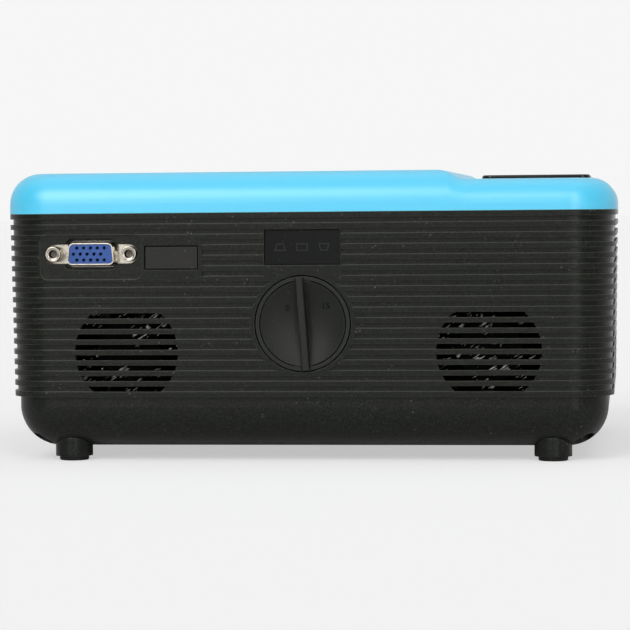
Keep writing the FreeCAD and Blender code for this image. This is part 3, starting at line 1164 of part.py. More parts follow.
# ---------------------------------------------------------------- light engine
def engine_shell(lower):
    """Half of the dust-tight box round the light path, split at the optical axis."""
    x0, x1 = ENGINE_LEFT_X, ENGINE_RIGHT_X
    y0, y1 = -ENGINE_HALF_DEPTH, ENGINE_HALF_DEPTH
    z0, z1 = (ENGINE_BOTTOM_Z, AXIS_Z) if lower else (AXIS_Z, ENGINE_TOP_Z)
    w = ENGINE_WALL
    shell = box(x0, x1, y0, y1, z0, z1)
    inside_z = (z0 + w, z1 + 1) if lower else (z0 - 1, z1 - w)
    shell = shell.cut(box(x0 + w, x1 - w, y0 + w, y1 - w, *inside_z))
    half = SCREEN_WIDTH / 2
    rails = []
    for x, thickness in [(x, FRESNEL_THICKNESS) for x in FRESNEL_XS] + [(LCD_X, LCD_THICKNESS)]:
        for side in (-1, 1):
            y_in, y_out = side * (half - RAIL), side * (ENGINE_HALF_DEPTH - w / 2)
            slab = box(x - thickness / 2 - 2, x + thickness / 2 + 2, min(y_in, y_out), max(y_in, y_out),
                       min(z0, z1) + w / 2 if lower else z0, z1 if lower else z1 - w / 2)
            rails.append(slab.cut(screen(x, thickness, SEAT)))
    # ring that carries the condenser
    ring = box(CONDENSER_X - 2.5, CONDENSER_X + CONDENSER_EDGE, y0 + w / 2, y1 - w / 2, z0, z1)
    ring = ring.cut(rod("x", CONDENSER_RADIUS - RAIL, CONDENSER_X - 10, 20, AXIS_Y, AXIS_Z))
    ring = ring.cut(rod("x", CONDENSER_RADIUS + SEAT, CONDENSER_X - SEAT, CONDENSER_EDGE + 2 * SEAT,
                        AXIS_Y, AXIS_Z))
    # bearing blocks for the mirror's pivots
    blocks = []
    for block in mirror_blocks():
        keep = box(x0, x1, y0 + w / 2, y1 - w / 2, z0, z1)
        blocks.append(block.common(keep))
    shell = shell.fuse(rails + [ring] + blocks)
    cutters = [box(x0 - 1, x0 + w + 1, -LED_BOARD / 2 - SEAT, LED_BOARD / 2 + SEAT,
                   AXIS_Z - LED_BOARD / 2 - SEAT, AXIS_Z + LED_BOARD / 2 + SEAT),
               rod("y", LENS_BORE_RADIUS, y1 - w - 1, w + 2, AXIS_X, AXIS_Z),
               box(DIAL_X - CAM_RADIUS, DIAL_X + CAM_RADIUS, y0 - 1, y0 + w + 1,
                   DIAL_Z - CAM_RADIUS, DIAL_Z + CAM_RADIUS),
               mirror_pivots(RUNNING)]
    for cutter in cutters:
        shell = shell.cut(cutter)
    return shell


def screen(x, thickness, margin):
    return box(x - thickness / 2 - margin, x + thickness / 2 + margin,
               -SCREEN_WIDTH / 2 - margin, SCREEN_WIDTH / 2 + margin,
               AXIS_Z - SCREEN_HEIGHT / 2 - margin, AXIS_Z + SCREEN_HEIGHT / 2 + margin)


def turn_to_mirror(shape):
    """From the mirror's own frame (face towards -Y, width along X) to its 45 degree seat."""
    shape.rotate(V(0, 0, 0), AXES["z"], -135)
    return shape.translated(V(AXIS_X, AXIS_Y, 0))


def mirror_pivots(margin):
    half = MIRROR_WIDTH / 2 + 1
    y = MIRROR_THICKNESS + CARRIER_THICKNESS / 2
    pins = [rod("x", CARRIER_PIVOT_RADIUS + margin, side * half - (0 if side > 0 else
                CARRIER_PIVOT_LENGTH + margin) - (1 if side > 0 else -1) * 0.5,
                CARRIER_PIVOT_LENGTH + margin, y, AXIS_Z) for side in (-1, 1)]
    return turn_to_mirror(Part.makeCompound(pins))


def mirror_blocks():
    half = MIRROR_WIDTH / 2 + 1 + SLIDING
    y = MIRROR_THICKNESS + CARRIER_THICKNESS / 2
    blocks = []
    for side in (-1, 1):
        x0 = half if side > 0 else -half - PIVOT_BLOCK_LENGTH
        blocks.append(turn_to_mirror(box(x0, x0 + PIVOT_BLOCK_LENGTH, y - 3.2, y + 3.2,
                                         ENGINE_BOTTOM_Z + ENGINE_WALL / 2,
                                         ENGINE_TOP_Z - ENGINE_WALL / 2)))
    return blocks


def fold_mirror():
    half = MIRROR_WIDTH / 2
    return turn_to_mirror(box(-half, half, 0, MIRROR_THICKNESS, AXIS_Z - MIRROR_HEIGHT / 2,
                              AXIS_Z + MIRROR_HEIGHT / 2))


def mirror_carrier():
    half = MIRROR_WIDTH / 2 + 0.5
    y = MIRROR_THICKNESS
    plate_part = turn_to_mirror(box(-half, half, y, y + CARRIER_THICKNESS, AXIS_Z - MIRROR_HEIGHT / 2,
                                    AXIS_Z + MIRROR_HEIGHT / 2))
    return plate_part.fuse(mirror_pivots(0).Solids)


def led_module():
    """Aluminium-core board with the emitter dome, flat against the heatsink."""
    half = LED_BOARD / 2
    board = box(ENGINE_LEFT_X, ENGINE_LEFT_X + LED_BOARD_THICKNESS, -half, half,
                AXIS_Z - half, AXIS_Z + half)
    chip = plate("x", -LED_EMITTER / 2, LED_EMITTER / 2, AXIS_Z - LED_EMITTER / 2,
                 AXIS_Z + LED_EMITTER / 2, 1.0, ENGINE_LEFT_X + LED_BOARD_THICKNESS, 1.2)
    return board.fuse(chip)


def led_heatsink():
    x1 = ENGINE_LEFT_X
    x0 = x1 - HEATSINK_LENGTH
    half_w, half_h = HEATSINK_WIDTH / 2, HEATSINK_HEIGHT / 2
    sink = box(x1 - HEATSINK_BASE, x1, -half_w, half_w, AXIS_Z - half_h, AXIS_Z + half_h)
    pitch = (HEATSINK_WIDTH - HEATSINK_FIN) / (HEATSINK_FINS - 1)
    fins = [box(x0, x1 - HEATSINK_BASE + TINY, -half_w + k * pitch, -half_w + k * pitch + HEATSINK_FIN,
                AXIS_Z - half_h, AXIS_Z + half_h) for k in range(HEATSINK_FINS)]
    return sink.fuse(fins)


def lens_body(axis, radius, edge, dome_start, dome_end, start, a, b):
    """Glass disc whose two faces are spherical caps of the given heights."""
    body = rod(axis, radius, start, edge, a, b)
    for height, side in ((dome_start, -1), (dome_end, 1)):
        if height <= 0:
            continue
        r = (radius ** 2 + height ** 2) / (2 * height)
        pole = start - height if side < 0 else start + edge + height
        ball = Part.makeSphere(r, at(axis, a, b, pole - side * r))
        slab_start = start - height if side < 0 else start + edge - TINY
        slab = rod(axis, radius, slab_start, height + TINY, a, b)
        body = body.fuse(ball.common(slab))
    return body


def condenser_lens():
    return lens_body("x", CONDENSER_RADIUS, CONDENSER_EDGE, 0, CONDENSER_DOME, CONDENSER_X,
                     AXIS_Y, AXIS_Z)


def fresnel_lenses():
    return Part.makeCompound([screen(x, FRESNEL_THICKNESS, 0) for x in FRESNEL_XS])


def lcd_panel():
    """Metal frame with the liquid-crystal glass in its window."""
    half_w, half_h = LCD_WINDOW_WIDTH / 2, LCD_WINDOW_HEIGHT / 2
    window = box(LCD_X - 5, LCD_X + 5, -half_w, half_w, AXIS_Z - half_h, AXIS_Z + half_h)
    glass = box(LCD_X - 0.6, LCD_X + 0.6, -half_w, half_w, AXIS_Z - half_h, AXIS_Z + half_h)
    return group([screen(LCD_X, LCD_THICKNESS, 0).cut(window), glass])


# ---------------------------------------------------------------- projection lens
def lens_mount():
    """Flanged tube that the barrel slides in and the focus ring turns on."""
    y0 = ENGINE_HALF_DEPTH
    flange = rod("y", LENS_FLANGE_RADIUS, y0, LENS_FLANGE_THICKNESS, AXIS_X, AXIS_Z)
    sleeve = rod("y", LENS_TUBE_RADIUS, y0, LENS_TUBE_END_Y - y0, AXIS_X, AXIS_Z)
    return flange.fuse(sleeve).cut(rod("y", LENS_BORE_RADIUS, y0 - 1, CASE_DEPTH, AXIS_X, AXIS_Z))


def lens_barrel():
    barrel = rod("y", BARREL_RADIUS, BARREL_BACK_Y, BARREL_FRONT_Y - BARREL_BACK_Y, AXIS_X, AXIS_Z)
    barrel = barrel.cut(rod("y", BARREL_RADIUS - BARREL_WALL, BARREL_BACK_Y - 1, CASE_DEPTH, AXIS_X, AXIS_Z))
    for y in glass_seats():
        seat = tube("y", BARREL_RADIUS, glass_radius() - 1.2, y - 1.2, 1.2, AXIS_X, AXIS_Z)
        barrel = barrel.fuse(seat)
    return barrel


def glass_radius():
    return BARREL_RADIUS - BARREL_WALL


def glass_seats():
    return (BARREL_BACK_Y + 5.0, BARREL_FRONT_Y - 5.0)


def lens_glass():
    """Two elements, the front one more strongly curved."""
    dome = GLASS_CENTRE - GLASS_EDGE
    return group([
        lens_body("y", glass_radius() - TINY, GLASS_EDGE, 0, height, y, AXIS_X, AXIS_Z)
        for y, height in zip(glass_seats(), (dome / 2, dome))
    ])


def focus_ring():
    """Ribbed ring round the end of the lens tube."""
    length = FOCUS_FRONT_Y - FOCUS_RING_BACK_Y
    ring = rod("y", FOCUS_OUTER_RADIUS, FOCUS_RING_BACK_Y, length, AXIS_X, AXIS_Z)
    ribs = []
    for k in range(FOCUS_RIBS):
        angle = 2 * math.pi * k / FOCUS_RIBS
        ribs.append(rod("y", FOCUS_RIB_RADIUS, FOCUS_RING_BACK_Y + 1.5, length - 3,
                        AXIS_X + FOCUS_OUTER_RADIUS * math.cos(angle),
                        AXIS_Z + FOCUS_OUTER_RADIUS * math.sin(angle)))
    ring = ring.fuse(ribs)
    bore_end = LENS_TUBE_END_Y + SLIDING + BARREL_TRAVEL
    ring = ring.cut(rod("y", FOCUS_INNER_RADIUS, FOCUS_RING_BACK_Y - 1,
                        bore_end - FOCUS_RING_BACK_Y + 1, AXIS_X, AXIS_Z))
    return ring.cut(rod("y", FOCUS_FRONT_RADIUS, FOCUS_RING_BACK_Y - 1, CASE_DEPTH, AXIS_X, AXIS_Z))


def lens_bezel():
    """Flared trim ring round the lens opening in the front wall."""
    front = LENS_SEAT_Y
    wide = LENS_BEZEL_RADIUS + LENS_BEZEL_FLARE - SEAT
    body = LENS_BEZEL_RADIUS - LENS_BEZEL_FLARE - SEAT
    inner = body - LENS_BEZEL_WALL
    face = front + LENS_BEZEL_FACE
    outline = [(inner, front - LENS_BEZEL_DEPTH), (body, front - LENS_BEZEL_DEPTH),
               (body, front + SEAT), (wide, front + SEAT), (wide, face), (inner + 1.4, face),
               (inner, face - 1.6)]
    return turned("y", outline, AXIS_X, AXIS_Z)


# ---------------------------------------------------------------- disc mechanism
def loader_chassis():
    x0, x1, w = CHASSIS_LEFT_X, CHASSIS_RIGHT_X, CHASSIS_WALL
    y0, y1 = CHASSIS_BACK_Y, CHASSIS_FRONT_Y
    chassis = box(x0, x1, y0, y1, CHASSIS_BOTTOM_Z, CHASSIS_TOP_Z)
    pocket_top = CHASSIS_TOP_Z - CHASSIS_PLATE
    chassis = chassis.cut(box(x0 + w, x1 - w, y0 + w, y1 - w, CHASSIS_BOTTOM_Z - 1, pocket_top))
    chassis = chassis.cut(box(BRIDGE_END_X, x1 - w, y0 + w, y1 - w, 0, 100))
    extras = []
    for y in ROD_YS:
        extras.append(box(BRIDGE_END_X - 4, BRIDGE_END_X, y - 2.8, y + 2.8, CHASSIS_BOTTOM_Z + 1,
                          pocket_top + TINY))
    for x, y in damper_places():
        inner = DISC_Y + math.copysign(CHASSIS_HALF - 1, y - DISC_Y)
        low, high = min(inner, y), max(inner, y)
        extras.append(box(x - DAMPER_RADIUS, x + DAMPER_RADIUS, low, high, CHASSIS_TOP_Z - 2, CHASSIS_TOP_Z))
        extras.append(rod("z", DAMPER_RADIUS, CHASSIS_TOP_Z - 2, 2, x, y))
    shelf_top = GEAR_BOTTOM_Z - SLIDING
    extras.append(box(GEAR_X - 9, GEAR_X + 9, GEAR_Y - 3.4, y1 - w + TINY, shelf_top - SHELF_THICKNESS,
                      shelf_top))
    chassis = chassis.fuse(extras)
    cutters = [rod("z", 4, pocket_top - 1, 5, DISC_X, DISC_Y),
               rod("z", 1.0 + RUNNING, 60, 20, GEAR_X, GEAR_Y)]
    for y in ROD_YS:
        cutters.append(rod("x", ROD_RADIUS, BRIDGE_END_X - 5, x1 - BRIDGE_END_X + 4, y, ROD_Z))
    for x, y in damper_places():
        cutters.append(rod("z", PEG_RADIUS + SLIDING, CHASSIS_TOP_Z - 5, 10, x, y))
    for cutter in cutters:
        chassis = chassis.cut(cutter)
    return chassis


def damper_places():
    return [(x, DISC_Y + side * DAMPER_REACH) for x in DAMPER_XS for side in (-1, 1)]


def loader_dampers():
    return Part.makeCompound([
        tube("z", DAMPER_RADIUS, PEG_RADIUS + SEAT, CHASSIS_TOP_Z, DAMPER_HEIGHT, x, y)
        for x, y in damper_places()
    ])


def guide_rods():
    length = CHASSIS_RIGHT_X - 1 - (BRIDGE_END_X - 4)
    return Part.makeCompound([rod("x", ROD_RADIUS, BRIDGE_END_X - 4, length, y, ROD_Z) for y in ROD_YS])


def spindle_motor():
    top = CHASSIS_TOP_Z - CHASSIS_PLATE
    can = rod("z", SPINDLE_MOTOR_RADIUS, top - SPINDLE_MOTOR_HEIGHT, SPINDLE_MOTOR_HEIGHT, DISC_X, DISC_Y)
    nose = rod("z", 3.4, top - 1, CHASSIS_PLATE + 1.4, DISC_X, DISC_Y)
    return can.fuse(nose).cut(rod("z", SPINDLE_RADIUS + RUNNING, 70, 30, DISC_X, DISC_Y))


def turntable():
    """Rubber-faced platform with the centring hub, pressed on the spindle motor's shaft."""
    top = TURNTABLE_Z + TURNTABLE_THICKNESS
    hub_r = DISC_BORE_RADIUS - 0.12
    outline = [(SPINDLE_RADIUS, TURNTABLE_Z - 3), (4.5, TURNTABLE_Z - 3), (4.5, TURNTABLE_Z),
               (TURNTABLE_RADIUS, TURNTABLE_Z), (TURNTABLE_RADIUS, top - 0.4),
               (TURNTABLE_RADIUS - 0.4, top), (hub_r, top), (hub_r, top + HUB_HEIGHT - 1.6),
               (hub_r - 1.8, top + HUB_HEIGHT), (SPINDLE_RADIUS, top + HUB_HEIGHT)]
    low = CHASSIS_TOP_Z - CHASSIS_PLATE - SPINDLE_MOTOR_HEIGHT + 0.6
    high = top + HUB_HEIGHT - 0.3
    shaft = rod("z", SPINDLE_RADIUS, low, high - low, DISC_X, DISC_Y)
    return turned("z", outline, DISC_X, DISC_Y).fuse(shaft)


def pickup():
    """Sled that carries the laser unit along the two rods, with the rack on its side."""
    x0, x1 = OBJECTIVE_X - SLED_BACK, OBJECTIVE_X + SLED_FRONT
    sled = box(x0, x1, SLED_BACK_Y, SLED_FRONT_Y, SLED_BOTTOM_Z, SLED_TOP_Z)
    rim = [e for e in sled.Edges if e.BoundBox.ZLength > 1]
    sled = sled.makeChamfer(1.2, rim[:2])
    length = SLED_TRAVEL + 6
    rack_x1 = GEAR_X + 3
    rack = rack_bar(rack_x1 - length, rack_x1)
    sled = sled.fuse(rack)
    for y in ROD_YS:
        sled = sled.cut(rod("x", ROD_RADIUS + RUNNING, x0 - 30, 100, y, ROD_Z))
    well = rod("z", OBJECTIVE_RADIUS + SLIDING, SLED_TOP_Z - 3, 10, OBJECTIVE_X, DISC_Y)
    return sled.cut(well)


def rack_bar(x0, x1):
    """Straight rack with its gaps centred on the pinion at rest."""
    pitch = math.pi * GEAR_MODULE
    root_y, tip_y = RACK_PITCH_Y - DEDENDUM, RACK_PITCH_Y + RACK_ADDENDUM
    z0, height = GEAR_BOTTOM_Z, GEAR_WIDTH
    bar = box(x0, x1, SLED_FRONT_Y - TINY, root_y + TINY, z0, z0 + height)
    slope = math.tan(math.radians(PRESSURE_ANGLE))
    half = pitch / 4 - GEAR_BACKLASH / 2
    teeth = []
    count = int((GEAR_X - x0) / pitch + 0.5)
    for k in range(-1, count):
        x = GEAR_X - (k + 0.5) * pitch
        low, high = half + DEDENDUM * slope, half - RACK_ADDENDUM * slope
        if x + low > x1 or x - low < x0:
            continue
        points = [V(x - low, root_y, z0), V(x + low, root_y, z0), V(x + high, tip_y, z0),
                  V(x - high, tip_y, z0), V(x - low, root_y, z0)]
        teeth.append(Part.Face(Part.makePolygon(points)).extrude(V(0, 0, height)))
    return bar.fuse(teeth)


def sled_gear():
    """Pinion with involute flanks, one tooth pointing at the rack, and its shaft."""
    alpha = math.radians(PRESSURE_ANGLE)
    base_r = PITCH_RADIUS * math.cos(alpha)
    tip_r, root_r = PITCH_RADIUS + GEAR_ADDENDUM, PITCH_RADIUS - DEDENDUM
    half = math.pi / (2 * GEAR_TEETH) - GEAR_BACKLASH / (2 * PITCH_RADIUS)
    at_pitch = math.tan(alpha) - alpha

    def flank(radius):
        if radius <= base_r:
            return half + at_pitch
        angle = math.acos(base_r / radius)
        return half + at_pitch - (math.tan(angle) - angle)

    steps = 5
    radii = [root_r] + [base_r + (tip_r - base_r) * k / steps for k in range(steps + 1)]
    points = []
    for tooth in range(GEAR_TEETH):
        middle = -math.pi / 2 + 2 * math.pi * tooth / GEAR_TEETH
        outline = [(r, middle - flank(r)) for r in radii]
        outline += [(r, middle + flank(r)) for r in reversed(radii)]
        points += [V(r * math.cos(a), r * math.sin(a), 0) for r, a in outline]
    gear = Part.Face(Part.makePolygon(points + points[:1])).extrude(V(0, 0, GEAR_WIDTH))
    gear = gear.translated(V(GEAR_X, GEAR_Y, GEAR_BOTTOM_Z))
    low = GEAR_BOTTOM_Z - SLIDING - SHELF_THICKNESS - SLED_MOTOR_HEIGHT + 0.6
    shaft = rod("z", 1.0, low, GEAR_BOTTOM_Z + GEAR_WIDTH + 0.8 - low, GEAR_X, GEAR_Y)
    return gear.fuse(shaft)


def sled_motor():
    top = GEAR_BOTTOM_Z - SLIDING - SHELF_THICKNESS
    can = rod("z", SLED_MOTOR_RADIUS, top - SLED_MOTOR_HEIGHT, SLED_MOTOR_HEIGHT, GEAR_X, GEAR_Y)
    return can.cut(rod("z", 1.0 + RUNNING, top - SLED_MOTOR_HEIGHT + 0.4, 20, GEAR_X, GEAR_Y))


def pickup_lens():
    """Objective in its holder, floating in the sled."""
    low = SLED_TOP_Z - 2.4
    holder = rod("z", OBJECTIVE_RADIUS, low, OBJECTIVE_TOP_Z - 0.6 - low, OBJECTIVE_X, DISC_Y)
    glass = lens_body("z", 2.0, 0.4, 0, 0.6, OBJECTIVE_TOP_Z - 1.0, OBJECTIVE_X, DISC_Y)
    return holder.fuse(glass)


# ---------------------------------------------------------------- control strip
def control_panel():
    strip = plate("z", STRIP_LEFT_X, STRIP_RIGHT_X, STRIP_BACK_Y, STRIP_FRONT_Y, STRIP_CORNER,
                  DECK_Z, STRIP_HEIGHT)
    rim = [e for e in strip.Edges if e.BoundBox.ZMin > STRIP_TOP_Z - TINY]
    strip = strip.makeFillet(0.7, rim)
    for place in KEYS.values():
        strip = strip.cut(key_prism(place, KEY_GAP, DECK_Z - 1, STRIP_TOP_Z + 1))
    return strip


def key_prism(place, margin, z0, z1):
    x, y, half_x, half_y = place
    x, y = x + STRIP_X, y + STRIP_Y
    return plate("z", x - half_x - margin, x + half_x + margin, y - half_y - margin,
                 y + half_y + margin, KEY_CORNER, z0, z1 - z0)


def key(name):
    place = KEYS[name]
    cap = key_prism(place, 0, KEY_FLANGE_BOTTOM_Z, STRIP_TOP_Z + KEY_PROUD)
    rim = [e for e in cap.Edges if e.BoundBox.ZMin > STRIP_TOP_Z + KEY_PROUD - TINY]
    cap = cap.makeFillet(0.25, rim)
    return cap.fuse(key_prism(place, KEY_FLANGE, KEY_FLANGE_BOTTOM_Z, KEY_FLANGE_TOP_Z))


def key_board():
    y0, y1 = STRIP_BACK_Y + 6, STRIP_FRONT_Y - 6
    board = box(STRIP_LEFT_X - 2, STRIP_RIGHT_X + 2, y0, y1, KEY_BOARD_Z, KEY_BOARD_TOP_Z)
    switches = []
    for x, y, _, _ in KEYS.values():
        x, y = x + STRIP_X, y + STRIP_Y
        half = SWITCH_SIZE / 2
        switches.append(box(x - half, x + half, y - half, y + half, KEY_BOARD_TOP_Z - TINY,
                            PLUNGER_TOP_Z - 0.7))
        switches.append(rod("z", SWITCH_PLUNGER_RADIUS, KEY_BOARD_TOP_Z, PLUNGER_TOP_Z - KEY_BOARD_TOP_Z,
                            x, y))
    board = board.fuse(switches)
    for x, y in key_board_posts():
        board = board.cut(rod("z", 0.9, KEY_BOARD_Z - 1, 4, x, y))
    return board


# ---------------------------------------------------------------- boards and connectors
def signal_boards():
    """Main board along the back and the socket board along the -X side."""
    return Part.makeCompound([
        box(BOARD_LEFT_X, BOARD_RIGHT_X, BOARD_BACK_Y, BOARD_FRONT_Y, BOARD_Z, BOARD_TOP_Z),
        box(SIDE_INNER_X + 1, SIDE_INNER_X + SIDE_BOARD_DEPTH, SIDE_BOARD_BACK_Y,
            SIDE_BOARD_FRONT_Y, SIDE_BOARD_Z, SIDE_BOARD_TOP_Z)])


def board_components():
    """Chips, capacitors and plugs on the main board, and the power board's big pieces."""
    z = BOARD_TOP_Z
    back, front = BOARD_BACK_Y, BOARD_FRONT_Y
    solids = [box(-34, -14, front - 30, front - 10, z, z + 1.4),
              box(-6, 8, front - 24, front - 12, z, z + 1.2),
              box(16, 22, front - 22, front - 12, z, z + 5.0),
              box(-10, 6, back + 5, back + 11, z, z + 6.0)]
    for k in range(5):
        solids.append(rod("z", 3.0, z, 6.5, 30, back + 6 + k * (front - back - 9) / 4))
    return Part.makeCompound(solids + power_components())


def side_shell(y, width, height, depth, tongue_z):
    """Folded steel socket shell with its contact tongue, flush with the side wall."""
    x0 = SIDE_OUTER_X + 0.5
    z0 = SIDE_BOARD_TOP_Z
    wall = 0.4
    shell = plate("x", y - width / 2, y + width / 2, z0, z0 + height, 0.8, x0, depth)
    hollow = plate("x", y - width / 2 + wall, y + width / 2 - wall, z0 + wall, z0 + height - wall, 0.4,
                   x0 - 1, depth)
    tongue = box(x0 + 1.5, x0 + depth - 0.5, y - width / 2 + 1.6, y + width / 2 - 1.6,
                 z0 + tongue_z, z0 + tongue_z + 1.2)
    return shell.cut(hollow).fuse(tongue)


def side_sockets():
    """Digital video socket and data socket."""
    return group([side_shell(HDMI_Y, HDMI_WIDTH, HDMI_HEIGHT, HDMI_DEPTH, 2.4),
                  side_shell(USB_Y, USB_WIDTH, USB_HEIGHT, USB_DEPTH, 3.1)])


def audio_jacks():
    jacks = []
    x0 = SIDE_OUTER_X + 0.5
    for y in JACK_YS:
        z = SIDE_BOARD_TOP_Z + JACK_SIZE / 2
        body = box(SIDE_INNER_X + 1, SIDE_INNER_X + 1 + JACK_DEPTH, y - JACK_SIZE / 2,
                   y + JACK_SIZE / 2, SIDE_BOARD_TOP_Z, SIDE_BOARD_TOP_Z + JACK_SIZE)
        nose = rod("x", JACK_NOSE_RADIUS, x0, SIDE_INNER_X + 2 - x0, y, z)
        jack = body.fuse(nose).cut(rod("x", JACK_BORE_RADIUS, x0 - 1, JACK_BORE_LENGTH + 1, y, z))
        jacks.append(jack)
    return group(jacks)


def power_board():
    return box(POWER_LEFT_X, POWER_RIGHT_X, POWER_BACK_Y, POWER_FRONT_Y, POWER_BOARD_Z,
               POWER_BOARD_Z + BOARD_THICKNESS)


def power_components():
    """Transformer, mains capacitor, smoothing capacitors and regulator sinks."""
    z = POWER_BOARD_Z + BOARD_THICKNESS
    x0, x1, y0, y1 = POWER_LEFT_X, POWER_RIGHT_X, POWER_BACK_Y, POWER_FRONT_Y
    solids = [box(x0 + 2, x0 + 14, y0 + 18, y0 + 38, z, z + 18),
              rod("z", 6, z, 20, x0 + 9, y0 + 8),
              box(x0 + 3, x0 + 6, y1 - 14, y1 - 3, z, z + 20),
              rod("z", 4, z, 14, x0 + 15, y1 - 6),
              rod("z", 4, z, 14, x0 + 25, y1 - 6)]
    return solids


def mains_inlet():
    """Two-pin figure-8 inlet in the +X side wall."""
    face_x = CASE_WIDTH / 2 - band_inset(INLET_Z) - 0.2
    x0 = face_x - INLET_DEPTH
    half_w, half_h = INLET_WIDTH / 2, INLET_HEIGHT / 2
    body = plate("x", INLET_Y - half_w, INLET_Y + half_w, INLET_Z - half_h, INLET_Z + half_h, 1.4,
                 x0, INLET_DEPTH)
    pocket = inlet_pocket(face_x - INLET_POCKET_DEPTH, INLET_POCKET_DEPTH + 1)
    body = body.cut(pocket)
    pins = []
    for side in (-1, 1):
        y = INLET_Y + side * INLET_PIN_SPACING / 2
        pins.append(rod("x", INLET_PIN_RADIUS, face_x - INLET_POCKET_DEPTH - 1, INLET_PIN_LENGTH + 1,
                        y, INLET_Z))
    legs = box(x0 - 2, x0 + 1, INLET_Y - 6, INLET_Y + 6, POWER_BOARD_Z + BOARD_THICKNESS, INLET_Z)
    return body.fuse(pins + [legs])


def inlet_pocket(start, length):
    r = INLET_POCKET_HEIGHT / 2
    reach = INLET_POCKET_WIDTH / 2 - r
    lobes = [rod("x", r, start, length, INLET_Y + side * reach, INLET_Z) for side in (-1, 1)]
    lobes.append(box(start, start + length, INLET_Y - reach, INLET_Y + reach, INLET_Z - r + 1,
                     INLET_Z + r - 1))
    return fuse(lobes)


# ---------------------------------------------------------------- speakers
def speaker_basket(x, y0, y1):
    rim = tube("y", SPEAKER_RADIUS, SPEAKER_RADIUS - 1.5, y1 - 1.6, 1.6, x, SPEAKER_Z)
    cup = Part.makeCone(SPEAKER_RADIUS - 5, SPEAKER_RADIUS - 0.8, 6.0, V(x, y1 - 7.0, SPEAKER_Z),
                        AXES["y"])
    hollow = Part.makeCone(SPEAKER_RADIUS - 6.5, SPEAKER_RADIUS - 2.3, 6.4, V(x, y1 - 7.0, SPEAKER_Z),
                           AXES["y"])
    magnet = rod("y", SPEAKER_RADIUS - 4, y0, y1 - 7.0 - y0 + TINY, x, SPEAKER_Z)
    return rim.fuse([cup.cut(hollow), magnet])


def speakers():
    """Basket with magnet, and the paper cone in it, for each speaker."""
    cones = []
    y1 = -INNER_BACK_Y - 0.2
    y0 = y1 - SPEAKER_DEPTH
    for x in SPEAKER_XS:
        inner_r, outer_r = 4.0, SPEAKER_RADIUS - 2.6
        outline = [(inner_r - 1, y1 - 6.6), (inner_r, y1 - 6.6), (outer_r - 0.6, y1 - 1.9),
                   (outer_r, y1 - 1.2), (outer_r, y1 - 0.8), (outer_r - 1.2, y1 - 1.0),
                   (inner_r + 0.4, y1 - 5.4), (TINY, y1 - 4.0), (TINY, y1 - 6.6)]
        cones += [turned("y", outline, x, SPEAKER_Z), speaker_basket(x, y0, y1)]
    return group(cones)


# ---------------------------------------------------------------- export
NODES = {
    "bottom_case": bottom_case, "top_cover": top_cover, "disc_deck": disc_deck,
    "disc_lid": disc_lid, "hinge_pins": hinge_pins, "lid_latch": lid_latch, "screws": screws,
    "foot_collars": foot_collars, "foot_pads": foot_pads, "tripod_insert": tripod_insert,
    "keystone_plate": keystone_plate, "ir_windows": ir_windows, "vga_shell": vga_shell,
    "vga_insert": vga_insert, "vga_jackscrews": vga_jackscrews, "keystone_knob": keystone_knob,
    "keystone_shaft": keystone_shaft, "fan_frames": fan_frames,
    "fan_rotor_left": lambda: fan_rotor(-1), "fan_rotor_right": lambda: fan_rotor(1),
    "engine_lower_shell": lambda: engine_shell(True),
    "engine_upper_shell": lambda: engine_shell(False), "fold_mirror": fold_mirror,
    "mirror_carrier": mirror_carrier, "led_module": led_module, "led_heatsink": led_heatsink,
    "condenser_lens": condenser_lens, "fresnel_lenses": fresnel_lenses, "lcd_panel": lcd_panel,
    "lens_mount": lens_mount, "lens_barrel": lens_barrel, "lens_glass": lens_glass,
    "focus_ring": focus_ring, "lens_bezel": lens_bezel, "loader_chassis": loader_chassis,
    "loader_dampers": loader_dampers, "guide_rods": guide_rods, "spindle_motor": spindle_motor,
    "turntable": turntable, "pickup": pickup, "pickup_lens": pickup_lens,
    "sled_gear": sled_gear, "sled_motor": sled_motor, "control_panel": control_panel,
    "key_board": key_board, "signal_boards": signal_boards, "board_components": board_components,
    "side_sockets": side_sockets, "audio_jacks": audio_jacks, "power_board": power_board,
    "mains_inlet": mains_inlet, "speakers": speakers,
}
for key_name in KEYS:
    NODES[key_name] = lambda name=key_name: key(name)

os.makedirs("parts", exist_ok=True)
for node, make in NODES.items():
    make().exportStep(f"parts/{node}.step")
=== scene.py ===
import math

import bmesh
import bpy
from mathutils import Matrix, Vector


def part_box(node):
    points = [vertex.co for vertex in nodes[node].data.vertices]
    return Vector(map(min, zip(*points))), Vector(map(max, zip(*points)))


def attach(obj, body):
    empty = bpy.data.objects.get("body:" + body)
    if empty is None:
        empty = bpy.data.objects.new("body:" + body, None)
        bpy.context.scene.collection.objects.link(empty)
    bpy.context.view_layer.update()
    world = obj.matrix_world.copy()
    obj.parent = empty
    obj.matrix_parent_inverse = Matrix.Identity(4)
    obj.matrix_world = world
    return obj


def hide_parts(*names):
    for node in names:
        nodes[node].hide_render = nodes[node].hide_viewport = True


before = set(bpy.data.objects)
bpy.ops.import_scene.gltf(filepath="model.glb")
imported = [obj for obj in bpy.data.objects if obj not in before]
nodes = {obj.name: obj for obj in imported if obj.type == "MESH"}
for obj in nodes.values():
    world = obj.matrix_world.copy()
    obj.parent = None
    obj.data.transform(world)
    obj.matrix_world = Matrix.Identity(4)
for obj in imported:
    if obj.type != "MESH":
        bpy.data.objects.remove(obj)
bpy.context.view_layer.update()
bpy.ops.object.select_all(action="DESELECT")
MM = 0.001

# ---------------------------------------------------------------- studio
# A long lens almost a metre behind the projector, level with its cover, a pale seamless floor,
# and a white studio round it with a tall softbox either side of the camera.
EYE = Vector((105.2, -958.0, 82.4)) * MM
YAW, PITCH, ROLL = math.radians(6.62), math.radians(2.185), math.radians(-0.50)
PICTURE_WIDTH_PX = 630
FOCAL_PX = 2716
SENSOR = 36.0

